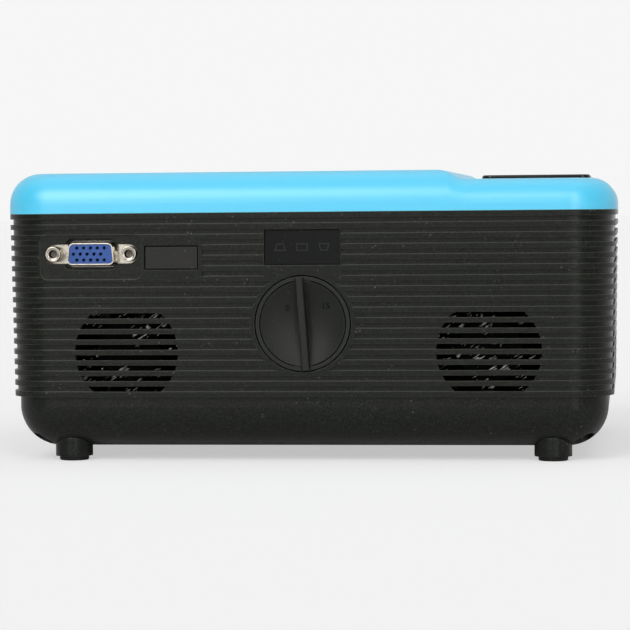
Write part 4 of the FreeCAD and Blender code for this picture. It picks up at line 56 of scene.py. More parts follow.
forward = Vector((-math.sin(YAW) * math.cos(PITCH), math.cos(YAW) * math.cos(PITCH), -math.sin(PITCH)))
right = forward.cross(Vector((0, 0, 1))).normalized()
up = right.cross(forward)
rolled_right = math.cos(ROLL) * right + math.sin(ROLL) * up
rolled_up = math.cos(ROLL) * up - math.sin(ROLL) * right
bpy.ops.object.camera_add(location=EYE)
camera = bpy.context.object
camera.name = "camera"
camera.rotation_euler = Matrix((rolled_right, rolled_up, -forward)).transposed().to_euler()
camera.data.sensor_width = SENSOR
camera.data.lens = FOCAL_PX * SENSOR / PICTURE_WIDTH_PX
camera.data.clip_start = 0.01
bpy.context.scene.camera = camera
bpy.context.scene.view_settings.view_transform = "Standard"


def add_math(tree, operation, a, b=None, clamp=False):
    node = tree.nodes.new("ShaderNodeMath")
    node.operation = operation
    node.use_clamp = clamp
    for socket, value in zip(node.inputs, (a, b)):
        if value is None:
            continue
        if isinstance(value, (int, float)):
            socket.default_value = value
        else:
            tree.links.new(value, socket)
    return node.outputs[0]


BACKGROUND = 0.9216
FLOOR_SIZE = 60.0
FLOOR_GLOW = 0.42          # this share of the floor that the lens sees is even paper white
GLOW_STRENGTH = 1.33
bpy.ops.mesh.primitive_plane_add(size=FLOOR_SIZE)
floor = bpy.context.object
floor.name = "studio_floor"
paper = bpy.data.materials.new("seamless_paper")
paper.use_nodes = True
paper_tree = paper.node_tree
paper_face = paper_tree.nodes["Principled BSDF"]
paper_face.inputs["Base Color"].default_value = (BACKGROUND, BACKGROUND, BACKGROUND, 1)
paper_face.inputs["Roughness"].default_value = 1.0
paper_face.inputs["Specular IOR Level"].default_value = 0.0
glow = paper_tree.nodes.new("ShaderNodeEmission")
glow.inputs["Color"].default_value = (BACKGROUND, BACKGROUND, BACKGROUND, 1)
glow.inputs["Strength"].default_value = GLOW_STRENGTH
seen_floor = paper_tree.nodes.new("ShaderNodeLightPath")
glow_share = add_math(paper_tree, "MULTIPLY", seen_floor.outputs["Is Camera Ray"], FLOOR_GLOW)
blend = paper_tree.nodes.new("ShaderNodeMixShader")
paper_tree.links.new(glow_share, blend.inputs[0])
paper_tree.links.new(paper_face.outputs[0], blend.inputs[1])
paper_tree.links.new(glow.outputs[0], blend.inputs[2])
paper_tree.links.new(blend.outputs[0], paper_tree.nodes["Material Output"].inputs["Surface"])
floor.data.materials.append(paper)

# The studio's walls are the world: dimmer on the camera's side and dimmest at its left.
# Mirrors and glass see the pale wall behind. Each softbox has a bearing from the camera's side
# and a half width in degrees, and its light.
ROOM_LIGHT = 0.22
LEFT_DIMMING = 0.85
TOP_LIGHT = 0.55
LEFT_EDGE, RIGHT_EDGE = -0.9, -0.1
WALL_FRONT, WALL_BACK = -0.3, 0.5
SOFTBOXES = ((-16.0, 8.0, 2.7), (20.0, 6.0, 5.5))
SOFTBOX_LOW, SOFTBOX_HIGH, SOFTBOX_BLUR = -4.0, 50.0, 3.0
TOP_FROM, TOP_TO, TOP_BLUR = 55.0, 120.0, 10.0
world = bpy.data.worlds.new("white_studio")
bpy.context.scene.world = world
world.use_nodes = True
studio = world.node_tree
studio.nodes.clear()


def add_range(tree, value, low, high, out_low=0.0, out_high=1.0, kind="LINEAR"):
    node = tree.nodes.new("ShaderNodeMapRange")
    node.interpolation_type = kind
    tree.links.new(value, node.inputs["Value"])
    numbers = {"From Min": low, "From Max": high, "To Min": out_low, "To Max": out_high}
    for socket, number in numbers.items():
        node.inputs[socket].default_value = number
    return node.outputs[0]


def window(value, low, high, blur):
    """1 between two angles in degrees, with soft edges."""
    low, high, blur = math.radians(low), math.radians(high), math.radians(blur)
    rise = add_range(studio, value, low - blur, low + blur, kind="SMOOTHSTEP")
    fall = add_range(studio, value, high - blur, high + blur, 1.0, 0.0, kind="SMOOTHSTEP")
    return add_math(studio, "MULTIPLY", rise, fall)


direction = studio.nodes.new("ShaderNodeTexCoord")
axes = studio.nodes.new("ShaderNodeSeparateXYZ")
studio.links.new(direction.outputs["Generated"], axes.inputs[0])
backwards = add_math(studio, "MULTIPLY", axes.outputs["Y"], -1.0)
bearing = add_math(studio, "ARCTAN2", axes.outputs["X"], backwards)
height = add_math(studio, "ARCSINE", axes.outputs["Z"])
boxes = 0.0
for middle, half, light in SOFTBOXES:
    across = window(bearing, middle - half, middle + half, SOFTBOX_BLUR)
    upright = window(height, SOFTBOX_LOW, SOFTBOX_HIGH, SOFTBOX_BLUR)
    patch = add_math(studio, "MULTIPLY", across, upright)
    boxes = add_math(studio, "ADD", boxes, add_math(studio, "MULTIPLY", patch, light))
overhead = add_math(studio, "MULTIPLY", window(height, TOP_FROM, TOP_TO, TOP_BLUR), TOP_LIGHT)
path = studio.nodes.new("ShaderNodeLightPath")
seen = add_math(studio, "MAXIMUM", path.outputs["Is Camera Ray"], path.outputs["Is Transmission Ray"])
behind = add_range(studio, axes.outputs["Y"], WALL_FRONT, WALL_BACK, kind="SMOOTHSTEP")
mirrored = add_math(studio, "MULTIPLY", path.outputs["Is Glossy Ray"], behind)
room = add_range(studio, axes.outputs["X"], LEFT_EDGE, RIGHT_EDGE, ROOM_LIGHT * (1 - LEFT_DIMMING),
                 ROOM_LIGHT, kind="SMOOTHSTEP")
pale_wall = add_math(studio, "MULTIPLY", mirrored, BACKGROUND - ROOM_LIGHT)
walls = add_math(studio, "ADD", room, pale_wall)
lit = add_math(studio, "ADD", add_math(studio, "ADD", walls, boxes), overhead)
unseen = add_math(studio, "SUBTRACT", 1.0, seen)
strength = add_math(studio, "ADD", add_math(studio, "MULTIPLY", lit, unseen),
                    add_math(studio, "MULTIPLY", seen, BACKGROUND))
sky = studio.nodes.new("ShaderNodeBackground")
sky.inputs["Color"].default_value = (1, 1, 1, 1)
studio.links.new(strength, sky.inputs["Strength"])
world_output = studio.nodes.new("ShaderNodeOutputWorld")
studio.links.new(sky.outputs[0], world_output.inputs["Surface"])

# the key light stands high behind the camera, a little to its left, behind a wide diffuser
KEY_STRENGTH = 0.9
KEY_TILT, KEY_TURN, KEY_SOFTNESS = math.radians(56), math.radians(-24), math.radians(38)
bpy.ops.object.light_add(type="SUN", rotation=(KEY_TILT, 0, KEY_TURN))
key_light = bpy.context.object
key_light.name = "key_light"
key_light.data.energy = KEY_STRENGTH
key_light.data.angle = KEY_SOFTNESS


# ---------------------------------------------------------------- bottom case
# The ribbed tub that everything else is screwed into: black ABS from a spark-eroded tool.
# Its ribs have soft edges with a painted highlight, a coarse grain with painted glints on its crowns, and
# a little dust.
def new_group(name, inputs, outputs):
    """A shared effect: float inputs with their defaults, and float or vector outputs."""
    group = bpy.data.node_groups.new(name, "ShaderNodeTree")
    for socket, value in inputs:
        item = group.interface.new_socket(socket, in_out="INPUT", socket_type="NodeSocketFloat")
        item.default_value = value
    for socket in outputs:
        kind = "NodeSocketVector" if socket == "Normal" else "NodeSocketFloat"
        group.interface.new_socket(socket, in_out="OUTPUT", socket_type=kind)
    return group, group.nodes.new("NodeGroupInput"), group.nodes.new("NodeGroupOutput")


def add_noise(tree, scale, detail=2.0, roughness=0.5):
    coordinates = tree.nodes.new("ShaderNodeTexCoord")
    noise = tree.nodes.new("ShaderNodeTexNoise")
    noise.inputs["Detail"].default_value = detail
    noise.inputs["Roughness"].default_value = roughness
    tree.links.new(coordinates.outputs["Object"], noise.inputs["Vector"])
    if isinstance(scale, (int, float)):
        noise.inputs["Scale"].default_value = scale
    else:
        tree.links.new(scale, noise.inputs["Scale"])
    return noise.outputs["Fac"]


def add_mix(tree, factor, a, b):
    node = tree.nodes.new("ShaderNodeMix")
    node.data_type = "RGBA"
    tree.links.new(factor, node.inputs["Factor"])
    for socket, value in ((node.inputs["A"], a), (node.inputs["B"], b)):
        if isinstance(value, tuple):
            socket.default_value = (*value[:3], 1.0)
        else:
            tree.links.new(value, socket)
    return node.outputs["Result"]


def place_group(tree, group, **values):
    node = tree.nodes.new("ShaderNodeGroup")
    node.node_tree = group
    for key, value in values.items():
        node.inputs[key].default_value = value
    return node


# grain: fine pits of the tool, the crowns between them that carry painted glints, and the slow drift of
# gloss
FINENESS = 2600.0          # pits and crowns to a metre
DRIFT_SCALE = 38.0
grain, grain_in, grain_out = new_group("tool_grain", [("Fineness", FINENESS)],
                                       ["Height", "Crowns", "Drift"])
pits = add_noise(grain, grain_in.outputs["Fineness"], 3.0, 0.65)
drift = add_noise(grain, DRIFT_SCALE, 3.0, 0.6)
grain.links.new(pits, grain_out.inputs["Height"])
grain.links.new(add_range(grain, pits, 0.42, 0.66), grain_out.inputs["Crowns"])
grain.links.new(add_range(grain, drift, 0.32, 0.68), grain_out.inputs["Drift"])

# dust: sparse pale specks, thicker in some places
SPECK_SCALE, PATCH_SCALE = 620.0, 160.0
dust, dust_in, dust_out = new_group("fine_dust", [("Amount", 0.5)], ["Specks"])
cells = dust.nodes.new("ShaderNodeTexVoronoi")
cells.feature = "F1"
dust_place = dust.nodes.new("ShaderNodeTexCoord")
dust.links.new(dust_place.outputs["Object"], cells.inputs["Vector"])
cells.inputs["Scale"].default_value = SPECK_SCALE
dots = add_range(dust, cells.outputs["Distance"], 0.10, 0.22, 1.0, 0.0)
patches = add_range(dust, add_noise(dust, PATCH_SCALE, 2.0), 0.55, 0.66)
dust.links.new(add_math(dust, "MULTIPLY", add_math(dust, "MULTIPLY", dots, patches, True),
                        dust_in.outputs["Amount"]), dust_out.inputs["Specks"])

# soft edges: a moulding's edges are rounded by the tool and rubbed smooth, and a painted highlight lies
# along them. The rim begins where the rounded surface turns away from the flat one.
RIM_STARTS, RIM_FULL = 0.985, 0.80
edges, edges_in, edges_out = new_group("soft_edges", [("Width", 0.0004)], ["Rim", "Normal"])
rounded = edges.nodes.new("ShaderNodeBevel")
rounded.samples = 6
edges.links.new(edges_in.outputs["Width"], rounded.inputs["Radius"])
facing = edges.nodes.new("ShaderNodeNewGeometry")
turned = edges.nodes.new("ShaderNodeVectorMath")
turned.operation = "DOT_PRODUCT"
edges.links.new(rounded.outputs[0], turned.inputs[0])
edges.links.new(facing.outputs["Normal"], turned.inputs[1])
edges.links.new(add_range(edges, turned.outputs["Value"], RIM_STARTS, RIM_FULL), edges_out.inputs["Rim"])
edges.links.new(rounded.outputs[0], edges_out.inputs["Normal"])


def moulded(name, colour, highlight_colour, roughness, fineness=FINENESS, depth=0.02, dusty=0.25,
            rim_width=0.0003, drift_by=0.12, gloss_drift=0.08, crown_glint_by=0.0, rim_roughness=-0.1,
            specular=0.5, coat=0.0, speck=(0.2, 0.19, 0.17)):
    """Moulded plastic: grain as bump, depth in millimetres, drifting gloss, smoother edges with a painted
    highlight, painted glints on the grain's crowns, and dust.
    """
    material = bpy.data.materials.new(name)
    material.use_nodes = True
    tree = material.node_tree
    face = tree.nodes["Principled BSDF"]
    face.inputs["Specular IOR Level"].default_value = specular
    face.inputs["Coat Weight"].default_value = coat
    face.inputs["Coat Roughness"].default_value = 0.06
    grained = place_group(tree, grain, Fineness=fineness)
    dusted = place_group(tree, dust, Amount=dusty)
    softened = place_group(tree, edges, Width=rim_width)
    base = add_mix(tree, grained.outputs["Drift"], tuple(c * (1 - drift_by) for c in colour), colour)
    # painted glints: the grain's crowns take the highlight colour
    if crown_glint_by:
        crown_glints = add_math(tree, "MULTIPLY", grained.outputs["Crowns"], crown_glint_by)
        base = add_mix(tree, crown_glints, base, highlight_colour)
    # painted highlight: the highlight colour is mixed in along each rim
    base = add_mix(tree, softened.outputs["Rim"], base, highlight_colour)
    base = add_mix(tree, dusted.outputs["Specks"], base, speck)
    tree.links.new(base, face.inputs["Base Color"])
    rough = add_range(tree, grained.outputs["Drift"], 0.0, 1.0,
                      roughness + gloss_drift * 0.6, roughness - gloss_drift * 0.4)
    rubbed = add_math(tree, "MULTIPLY", softened.outputs["Rim"], rim_roughness)
    tree.links.new(add_math(tree, "ADD", rough, rubbed, True), face.inputs["Roughness"])
    bump = tree.nodes.new("ShaderNodeBump")
    bump.inputs["Distance"].default_value = depth * MM
    bump.inputs["Strength"].default_value = 1.0
    tree.links.new(grained.outputs["Height"], bump.inputs["Height"])
    tree.links.new(softened.outputs["Normal"], bump.inputs["Normal"])
    tree.links.new(bump.outputs[0], face.inputs["Normal"])
    return material


def finish_node(material, *names):
    """Gives CAD nodes a material."""
    for name in names:
        mesh = nodes[name].data
        mesh.materials.clear()
        mesh.materials.append(material)


case_black = moulded("case_black", (0.0040, 0.0052, 0.0036), (0.062, 0.069, 0.053), 0.30,
                     fineness=1500.0, depth=0.07, crown_glint_by=0.20, specular=0.23, dusty=0.4,
                     rim_width=0.00042, rim_roughness=-0.16)
finish_node(case_black, "bottom_case")

# ---------------------------------------------------------------- feet and tripod insert
# A black collar is moulded under each corner, and a rubber pad is pressed into it. The brass
# insert for a tripod is knurled outside and melted into its boss.
rubber = moulded("foot_rubber", (0.014, 0.014, 0.013), (0.035, 0.035, 0.034), 0.62, depth=0.03,
                 specular=0.25)
finish_node(case_black, "foot_collars")
finish_node(rubber, "foot_pads")


METAL_RIM = 0.2 * MM
# the rims' share is a painted highlight
DULL_SHARE, RIM_HIGHLIGHT_SHARE = 0.82, 1.15          # of the colour, where the metal drifts and on its rims


def metal(name, colour, roughness, fineness=1800.0, depth=0.004):
    """Bare or plated metal with fine turning or rolling marks, and a painted highlight on its rims."""
    material = bpy.data.materials.new(name)
    material.use_nodes = True
    tree = material.node_tree
    face = tree.nodes["Principled BSDF"]
    face.inputs["Metallic"].default_value = 1.0
    grained = place_group(tree, grain, Fineness=fineness)
    softened = place_group(tree, edges, Width=METAL_RIM)
    dull = tuple(c * DULL_SHARE for c in colour)
    rim_highlight = tuple(min(1.0, c * RIM_HIGHLIGHT_SHARE) for c in colour)
    base = add_mix(tree, grained.outputs["Drift"], dull, colour)
    base = add_mix(tree, softened.outputs["Rim"], base, rim_highlight)
    tree.links.new(base, face.inputs["Base Color"])
    tree.links.new(add_range(tree, grained.outputs["Drift"], 0.0, 1.0, roughness + 0.08, roughness - 0.04),
                   face.inputs["Roughness"])
    bump = tree.nodes.new("ShaderNodeBump")
    bump.inputs["Distance"].default_value = depth * MM
    tree.links.new(grained.outputs["Height"], bump.inputs["Height"])
    tree.links.new(softened.outputs["Normal"], bump.inputs["Normal"])
    tree.links.new(bump.outputs[0], face.inputs["Normal"])
    return material


finish_node(metal("turned_brass", (0.78, 0.58, 0.28), 0.25), "tripod_insert")

# ---------------------------------------------------------------- power board and mains inlet
# Green solder mask over glass-fibre board, with its parts soldered on. The black two-pin inlet
# snaps into the right side.
board_green = moulded("solder_mask", (0.02, 0.17, 0.07), (0.1, 0.3, 0.12), 0.3, depth=0.004)
finish_node(board_green, "power_board", "signal_boards", "key_board")
finish_node(moulded("component_black", (0.03, 0.03, 0.03), (0.08, 0.08, 0.08), 0.45), "board_components")
inlet_black = moulded("inlet_black", (0.011, 0.011, 0.012), (0.035, 0.035, 0.035), 0.4, depth=0.01)
finish_node(inlet_black, "mains_inlet", "audio_jacks")

# ---------------------------------------------------------------- light engine and lens
# Two grey shells hold the lamp, its heatsink, the optics and the tilting mirror. The lens barrel
# slides in its mount, and the ribbed focus ring turns in the bezel.
grey = moulded("inner_grey", (0.05, 0.05, 0.055), (0.09, 0.09, 0.095), 0.5)
finish_node(grey, "engine_lower_shell", "engine_upper_shell", "mirror_carrier", "lens_mount",
            "keystone_shaft")
finish_node(moulded("barrel_black", (0.010, 0.010, 0.011), (0.03, 0.03, 0.03), 0.5), "lens_barrel")
finish_node(metal("extruded_aluminium", (0.75, 0.76, 0.78), 0.32), "led_heatsink", "led_module")
finish_node(metal("front_mirror", (0.9, 0.92, 0.93), 0.05, depth=0.0), "fold_mirror")


def clear(name, colour, roughness, coat_tint=None):
    """Glass or acrylic; a coated lens has a coloured bloom on its surface."""
    material = bpy.data.materials.new(name)
    material.use_nodes = True
    face = material.node_tree.nodes["Principled BSDF"]
    face.inputs["Base Color"].default_value = (*colour, 1)
    face.inputs["Roughness"].default_value = roughness
    face.inputs["Transmission Weight"].default_value = 1.0
    face.inputs["IOR"].default_value = 1.5
    if coat_tint:
        face.inputs["Coat Weight"].default_value = 0.5
        face.inputs["Coat Tint"].default_value = (*coat_tint, 1)
        face.inputs["Coat Roughness"].default_value = 0.01
    return material


finish_node(clear("coated_glass", (0.86, 0.92, 0.98), 0.01, (0.45, 0.35, 0.9)), "lens_glass")
finish_node(clear("optical_glass", (0.93, 0.96, 0.98), 0.02), "condenser_lens", "lcd_panel",
            "fresnel_lenses", "pickup_lens")
finish_node(moulded("lens_black", (0.0085, 0.0085, 0.009), (0.03, 0.03, 0.031), 0.36, depth=0.012),
            "focus_ring", "lens_bezel")

# ---------------------------------------------------------------- sockets in the left side
# Nickel-plated shells of the digital video and data sockets, on the side board. The hinge pins,
# the rods, the motors' cans and the screws have the same plating.
nickel = metal("nickel_plate", (0.72, 0.69, 0.64), 0.24)
finish_node(nickel, "side_sockets", "hinge_pins", "guide_rods", "spindle_motor", "sled_motor", "screws")

# ---------------------------------------------------------------- analogue video socket
# A drawn, plated steel shell over a blue nylon block with fifteen contact holes. The nose of both
# is drawn in towards the plug, and two turned lock nuts take the screws of the cable's plug.
plated = metal("plated_shell", (0.62, 0.575, 0.49), 0.22, depth=0.012)
socket_blue = moulded("socket_blue", (0.036, 0.095, 0.33), (0.08, 0.16, 0.46), 0.38, depth=0.004,
                      dusty=0.1, specular=0.3)
NOSE_TAPER = (0.95, 1.0, 0.88)
HOLES_WIDE, HOLES_HIGH = 6.5 * MM, 2.85 * MM        # the contact holes keep their places
FLANGE_THICKNESS = 0.8 * MM
FLANGE_CLEARANCE = 0.1 * MM
shell_low, shell_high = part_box("vga_shell")
socket_middle = Vector((shell_low[0] + shell_high[0], 0, shell_low[2] + shell_high[2])) / 2
nose_root = shell_high[1] - FLANGE_THICKNESS - FLANGE_CLEARANCE
for name, node, material, slot in (("drawn_shell", "vga_shell", plated, "steel"),
                                   ("contact_block", "vga_insert", socket_blue, "vga_blue")):
    nose = bpy.data.objects.new(name, nodes[node].data.copy())
    bpy.context.collection.objects.link(nose)
    bpy.context.view_layer.objects.active = nose
    nose.select_set(True)
    nose.data.materials.clear()
    nose.data.materials.append(material)
    bpy.ops.object.mode_set(mode="EDIT")
    bpy.ops.mesh.select_all(action="SELECT")
    bpy.ops.mesh.remove_doubles(threshold=0.001 * MM)
    bpy.ops.mesh.select_mode(type="VERT")
    bpy.ops.mesh.select_all(action="DESELECT")
    shape = bmesh.from_edit_mesh(nose.data)
    for vertex in shape.verts:
        away = vertex.co - socket_middle
        outside = abs(away.x) > HOLES_WIDE or abs(away.z) > HOLES_HIGH
        vertex.select_set(vertex.co.y < nose_root and outside)
    bmesh.update_edit_mesh(nose.data)
    bpy.ops.transform.resize(value=NOSE_TAPER, center_override=socket_middle)
    bpy.ops.object.mode_set(mode="OBJECT")
    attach(nose, "root")
    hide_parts(node)
    nose.select_set(False)
nut_low, nut_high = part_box("vga_jackscrews")
NUT_RADIUS = 2.55 * MM
NUT_SIDES = 14
NUT_LENGTH = 5.2 * MM
NUT_SOFTENING, NUT_EDGE = 0.16 * MM, math.radians(40)
RING_WIDTH = 0.55 * MM
RING_DROP = 0.35 * MM
BORE_INSET = 0.55 * MM
BORE_DEPTH = 3.4 * MM
BORE_MOUTH = 0.2 * MM
BORE_RADIUS = NUT_RADIUS - RING_WIDTH - BORE_INSET + 0.1 * MM
# the threaded bore's faces get a darker steel: painted shade inside the hole
bore_shade_steel = metal("bore_shade_steel", (0.16, 0.145, 0.125), 0.35)
nut_z = (nut_low[2] + nut_high[2]) / 2
NUT_CAD_RADIUS = (nut_high[2] - nut_low[2]) / 2
for name, x in (("lock_nut_left", nut_low[0] + NUT_CAD_RADIUS),
                ("lock_nut_right", nut_high[0] - NUT_CAD_RADIUS)):
    bpy.ops.mesh.primitive_cylinder_add(
        vertices=NUT_SIDES, radius=NUT_RADIUS, depth=NUT_LENGTH,
        location=(x, nut_low[1] + NUT_LENGTH / 2, nut_z), rotation=(math.radians(90), 0, 0))
    nut = bpy.context.object
    nut.name = name
    bpy.ops.object.transform_apply(location=True, rotation=True, scale=True)
    bpy.ops.object.mode_set(mode="EDIT")
    bpy.ops.mesh.select_all(action="DESELECT")
    shape = bmesh.from_edit_mesh(nut.data)
    shape.faces.ensure_lookup_table()
    front = min(shape.faces, key=lambda f: f.calc_center_median().y)
    bpy.ops.mesh.select_mode(type="FACE")
    front.select_set(True)
    bmesh.update_edit_mesh(nut.data)
    bpy.ops.mesh.inset(thickness=RING_WIDTH)
    bpy.ops.mesh.extrude_region_move(TRANSFORM_OT_translate={"value": (0, RING_DROP, 0)})
    bpy.ops.mesh.inset(thickness=BORE_INSET)
    bpy.ops.mesh.extrude_region_move(TRANSFORM_OT_translate={"value": (0, BORE_DEPTH, 0)})
    bpy.ops.object.mode_set(mode="OBJECT")
    soften = nut.modifiers.new("turned_edges", "BEVEL")
    soften.width = NUT_SOFTENING
    soften.segments = 2
    soften.limit_method = "ANGLE"
    soften.angle_limit = NUT_EDGE
    bpy.ops.object.modifier_apply(modifier=soften.name)
    bpy.ops.object.shade_smooth_by_angle(angle=NUT_EDGE)
    nut.data.materials.append(plated)
    nut.data.materials.append(bore_shade_steel)
    axis = Vector((x, 0, nut_z))
    for side in nut.data.polygons:
        away = Vector((side.center.x, 0, side.center.z)) - axis
        if away.length < BORE_RADIUS and side.center.y > nut_low[1] + RING_DROP + BORE_MOUTH:
            side.material_index = 1
    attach(nut, "root")
    nut.select_set(False)
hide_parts("vga_jackscrews")

# ---------------------------------------------------------------- cooling fans and speakers
# Each fan is an open black frame with a seven-bladed rotor that shows through the slots. Their black is
# darker than plain plastic, as painted shade of the case's inside, and frames and rotors carry painted
# glints: pale streaks in their colour. The speakers have paper cones behind their grilles.
STREAK_SIZE = (3.4 * MM, 3.4 * MM, 0.6 * MM)
STREAK_SLANT = math.radians(-32)
PAINTED_GLINT_COLOUR = (0.95, 0.93, 0.88)
STREAK_PATCHES = 90.0
# the fans' black is darker than plain plastic: painted shade of the case's inside
fan_black_and_shade = moulded("fan_black_and_shade", (0.0012, 0.0012, 0.0012), (0.02, 0.02, 0.02), 0.5, depth=0.002,
                    specular=0.04, dusty=0.0)
fan_tree = fan_black_and_shade.node_tree
fan_face = fan_tree.nodes["Principled BSDF"]
streak_place = fan_tree.nodes.new("ShaderNodeTexCoord")
stretch = fan_tree.nodes.new("ShaderNodeMapping")
stretch.vector_type = "TEXTURE"
stretch.inputs["Scale"].default_value = STREAK_SIZE
stretch.inputs["Rotation"].default_value = (0.0, STREAK_SLANT, 0.0)
fan_tree.links.new(streak_place.outputs["Object"], stretch.inputs["Vector"])
streaks = fan_tree.nodes.new("ShaderNodeTexNoise")
streaks.inputs["Scale"].default_value = 1.0
streaks.inputs["Detail"].default_value = 1.0
fan_tree.links.new(stretch.outputs[0], streaks.inputs["Vector"])
# painted glints: pale streaks mixed into the fans' colour
glints = add_math(fan_tree, "MULTIPLY", add_range(fan_tree, streaks.outputs["Fac"], 0.61, 0.63),
                  add_range(fan_tree, add_noise(fan_tree, STREAK_PATCHES, 1.0), 0.46, 0.54))
plain = fan_face.inputs["Base Color"].links[0].from_socket
fan_tree.links.new(add_mix(fan_tree, glints, plain, PAINTED_GLINT_COLOUR), fan_face.inputs["Base Color"])
finish_node(fan_black_and_shade, "fan_frames", "fan_rotor_left", "fan_rotor_right")
finish_node(moulded("cone_paper", (0.03, 0.03, 0.032), (0.06, 0.06, 0.06), 0.8, depth=0.05), "speakers")

# ---------------------------------------------------------------- infra-red windows
# Dark polycarbonate filters, polished outside, clipped into the case flush with its face. A
# hair-wide joint shows dark round each.
finish_node(moulded("infra_red_filter", (0.011, 0.0105, 0.009), (0.022, 0.021, 0.018), 0.34, depth=0.003,
                    specular=0.32), "ir_windows")
# this black serves the dark joints, and the dial's groove as painted shade
joint_and_shade_black = moulded("joint_and_shade_black", (0.001, 0.001, 0.001), (0.002, 0.002, 0.002), 0.8, depth=0.001,
                    specular=0.05)
JOINT_LINE, JOINT_THICKNESS = 0.32 * MM, 0.03 * MM


def thin_frame(name, middle, width, height, line, thickness, top_share=1.0, low_share=1.0):
    """An outline on an upright wall, square or narrowed at its top or foot; thickness is along Y."""
    bpy.ops.mesh.primitive_plane_add(size=1, rotation=(math.radians(90), 0, 0), location=middle)
    outline = bpy.context.object
    outline.name = name
    outline.scale = (width, height, 1)
    bpy.ops.object.transform_apply(location=True, rotation=True, scale=True)
    for vertex in outline.data.vertices:
        share = top_share if vertex.co.z > middle[2] else low_share
        vertex.co.x = middle[0] + (vertex.co.x - middle[0]) * share
    bpy.ops.object.mode_set(mode="EDIT")
    bpy.ops.mesh.select_all(action="SELECT")
    bpy.ops.mesh.inset(thickness=line)
    bpy.ops.mesh.delete(type="FACE")
    bpy.ops.mesh.select_all(action="SELECT")
    bpy.ops.mesh.extrude_region_move(TRANSFORM_OT_translate={"value": (0, thickness, 0)})
    bpy.ops.mesh.select_all(action="SELECT")
    bpy.ops.mesh.normals_make_consistent(inside=False)
    bpy.ops.object.mode_set(mode="OBJECT")
    return outline


for name, inwards in (("window_gap_rear", 1), ("window_gap_front", -1)):
    half = [v.co for v in nodes["ir_windows"].data.vertices if v.co.y * inwards < 0]
    face_y = min(c.y * inwards for c in half) * inwards
    corners = [c for c in half if abs(c.y - face_y) < JOINT_THICKNESS]
    low_x, high_x = min(c.x for c in corners), max(c.x for c in corners)
    low_z, high_z = min(c.z for c in corners), max(c.z for c in corners)
    middle = ((low_x + high_x) / 2, face_y - inwards * JOINT_THICKNESS, (low_z + high_z) / 2)
    gap = thin_frame(name, middle, high_x - low_x, high_z - low_z, JOINT_LINE, inwards * JOINT_THICKNESS)
    gap.data.materials.append(joint_and_shade_black)
    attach(gap, "root")
    gap.select_set(False)

# ---------------------------------------------------------------- plate over the dial
# An inlaid satin plate, nearly black, with three printed pictograms in dark grey ink: a picture
# that narrows upwards, a level one, and one that narrows downwards.
finish_node(moulded("plate_black", (0.0042, 0.0046, 0.0052), (0.010, 0.010, 0.011), 0.52, depth=0.004,
                    specular=0.16, dusty=0.12), "keystone_plate")
plate_low, plate_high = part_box("keystone_plate")
plate_middle = (plate_low + plate_high) / 2
ink = moulded("grey_ink", (0.030, 0.031, 0.034), (0.035, 0.036, 0.038), 0.6, depth=0.002, specular=0.2)
ICON_WIDTH, ICON_HEIGHT, ICON_LINE = 3.8 * MM, 2.4 * MM, 0.32 * MM
ICON_THICKNESS = 0.04 * MM
ICON_SPACING = 7.2 * MM
NARROWED = 0.62
ICONS = (("icon_narrow_top", -1, NARROWED, 1.0), ("icon_level", 0, 1.0, 1.0),
         ("icon_narrow_foot", 1, 1.0, NARROWED))
for name, column, top_share, low_share in ICONS:
    middle = (plate_middle[0] + column * ICON_SPACING, plate_low[1] - ICON_THICKNESS, plate_middle[2])
    icon = thin_frame(name, middle, ICON_WIDTH, ICON_HEIGHT, ICON_LINE, ICON_THICKNESS,
                      top_share, low_share)
    icon.data.materials.append(ink)
    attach(icon, "root")
    icon.select_set(False)

# ---------------------------------------------------------------- keystone dial
# A round black dial in the raised ring: a shallow bowl with a tall grip bar across it, and round the bowl
# a thin black ring of painted shade where its groove lies. The angles it sets are moulded in the bowl as
# plain raised numbers.
finish_node(moulded("dial_black", (0.0090, 0.0104, 0.0076), (0.040, 0.045, 0.034), 0.50, fineness=2000.0,
                    depth=0.03, crown_glint_by=0.15, specular=0.30), "keystone_knob")
knob = nodes["keystone_knob"]
knob_low, knob_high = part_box("keystone_knob")
dial_x, dial_z = (knob_low[0] + knob_high[0]) / 2, (knob_low[2] + knob_high[2]) / 2
IN_FRONT = 5 * MM          # pieces are drawn this far off the dial, and then laid on it
drawing_y = knob_low[1] - IN_FRONT


def lay_on_dial(piece, lift, thickness):
    """Moves each point of a flat piece back to the dial's face, and gives the piece a thickness."""
    for vertex in piece.data.vertices:
        hit, place, _, _ = knob.ray_cast(vertex.co, Vector((0, 1, 0)))
        if hit:
            vertex.co.y = place.y - lift
    wall = piece.modifiers.new("wall", "SOLIDIFY")
    wall.thickness = thickness
    wall.offset = 0
    bpy.ops.object.modifier_apply(modifier=wall.name)


NUMBER_SIZE = 3.0 * MM
NUMBER_RELIEF = 0.16 * MM
POINT_SPACING = 0.01 * MM
NUMBERS = (("dial_number_15", "15", 7.4 * MM, 5.6 * MM), ("dial_number_0", "0", -5.2 * MM, 4.9 * MM))
number_black = moulded("number_black", (0.003, 0.003, 0.003), (0.012, 0.012, 0.010), 0.6, depth=0.001,
                       specular=0.16)
for name, digits, across, above in NUMBERS:
    bpy.ops.object.text_add(rotation=(math.radians(90), 0, 0),
                            location=(dial_x + across, drawing_y, dial_z + above))
    number = bpy.context.object
    number.data.body = digits
    number.data.size = NUMBER_SIZE
    number.data.align_x = "CENTER"
    number.data.align_y = "CENTER"
    number.data.resolution_u = 4
    number.name = name
    bpy.ops.object.convert(target="MESH")
    bpy.ops.object.transform_apply(location=True, rotation=True, scale=True)
    bpy.ops.object.mode_set(mode="EDIT")
    bpy.ops.mesh.select_all(action="SELECT")
    bpy.ops.mesh.remove_doubles(threshold=POINT_SPACING)
    bpy.ops.object.mode_set(mode="OBJECT")
    lay_on_dial(number, NUMBER_RELIEF / 2, NUMBER_RELIEF)
    number.data.materials.append(number_black)
    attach(number, "keystone_knob")
    number.select_set(False)
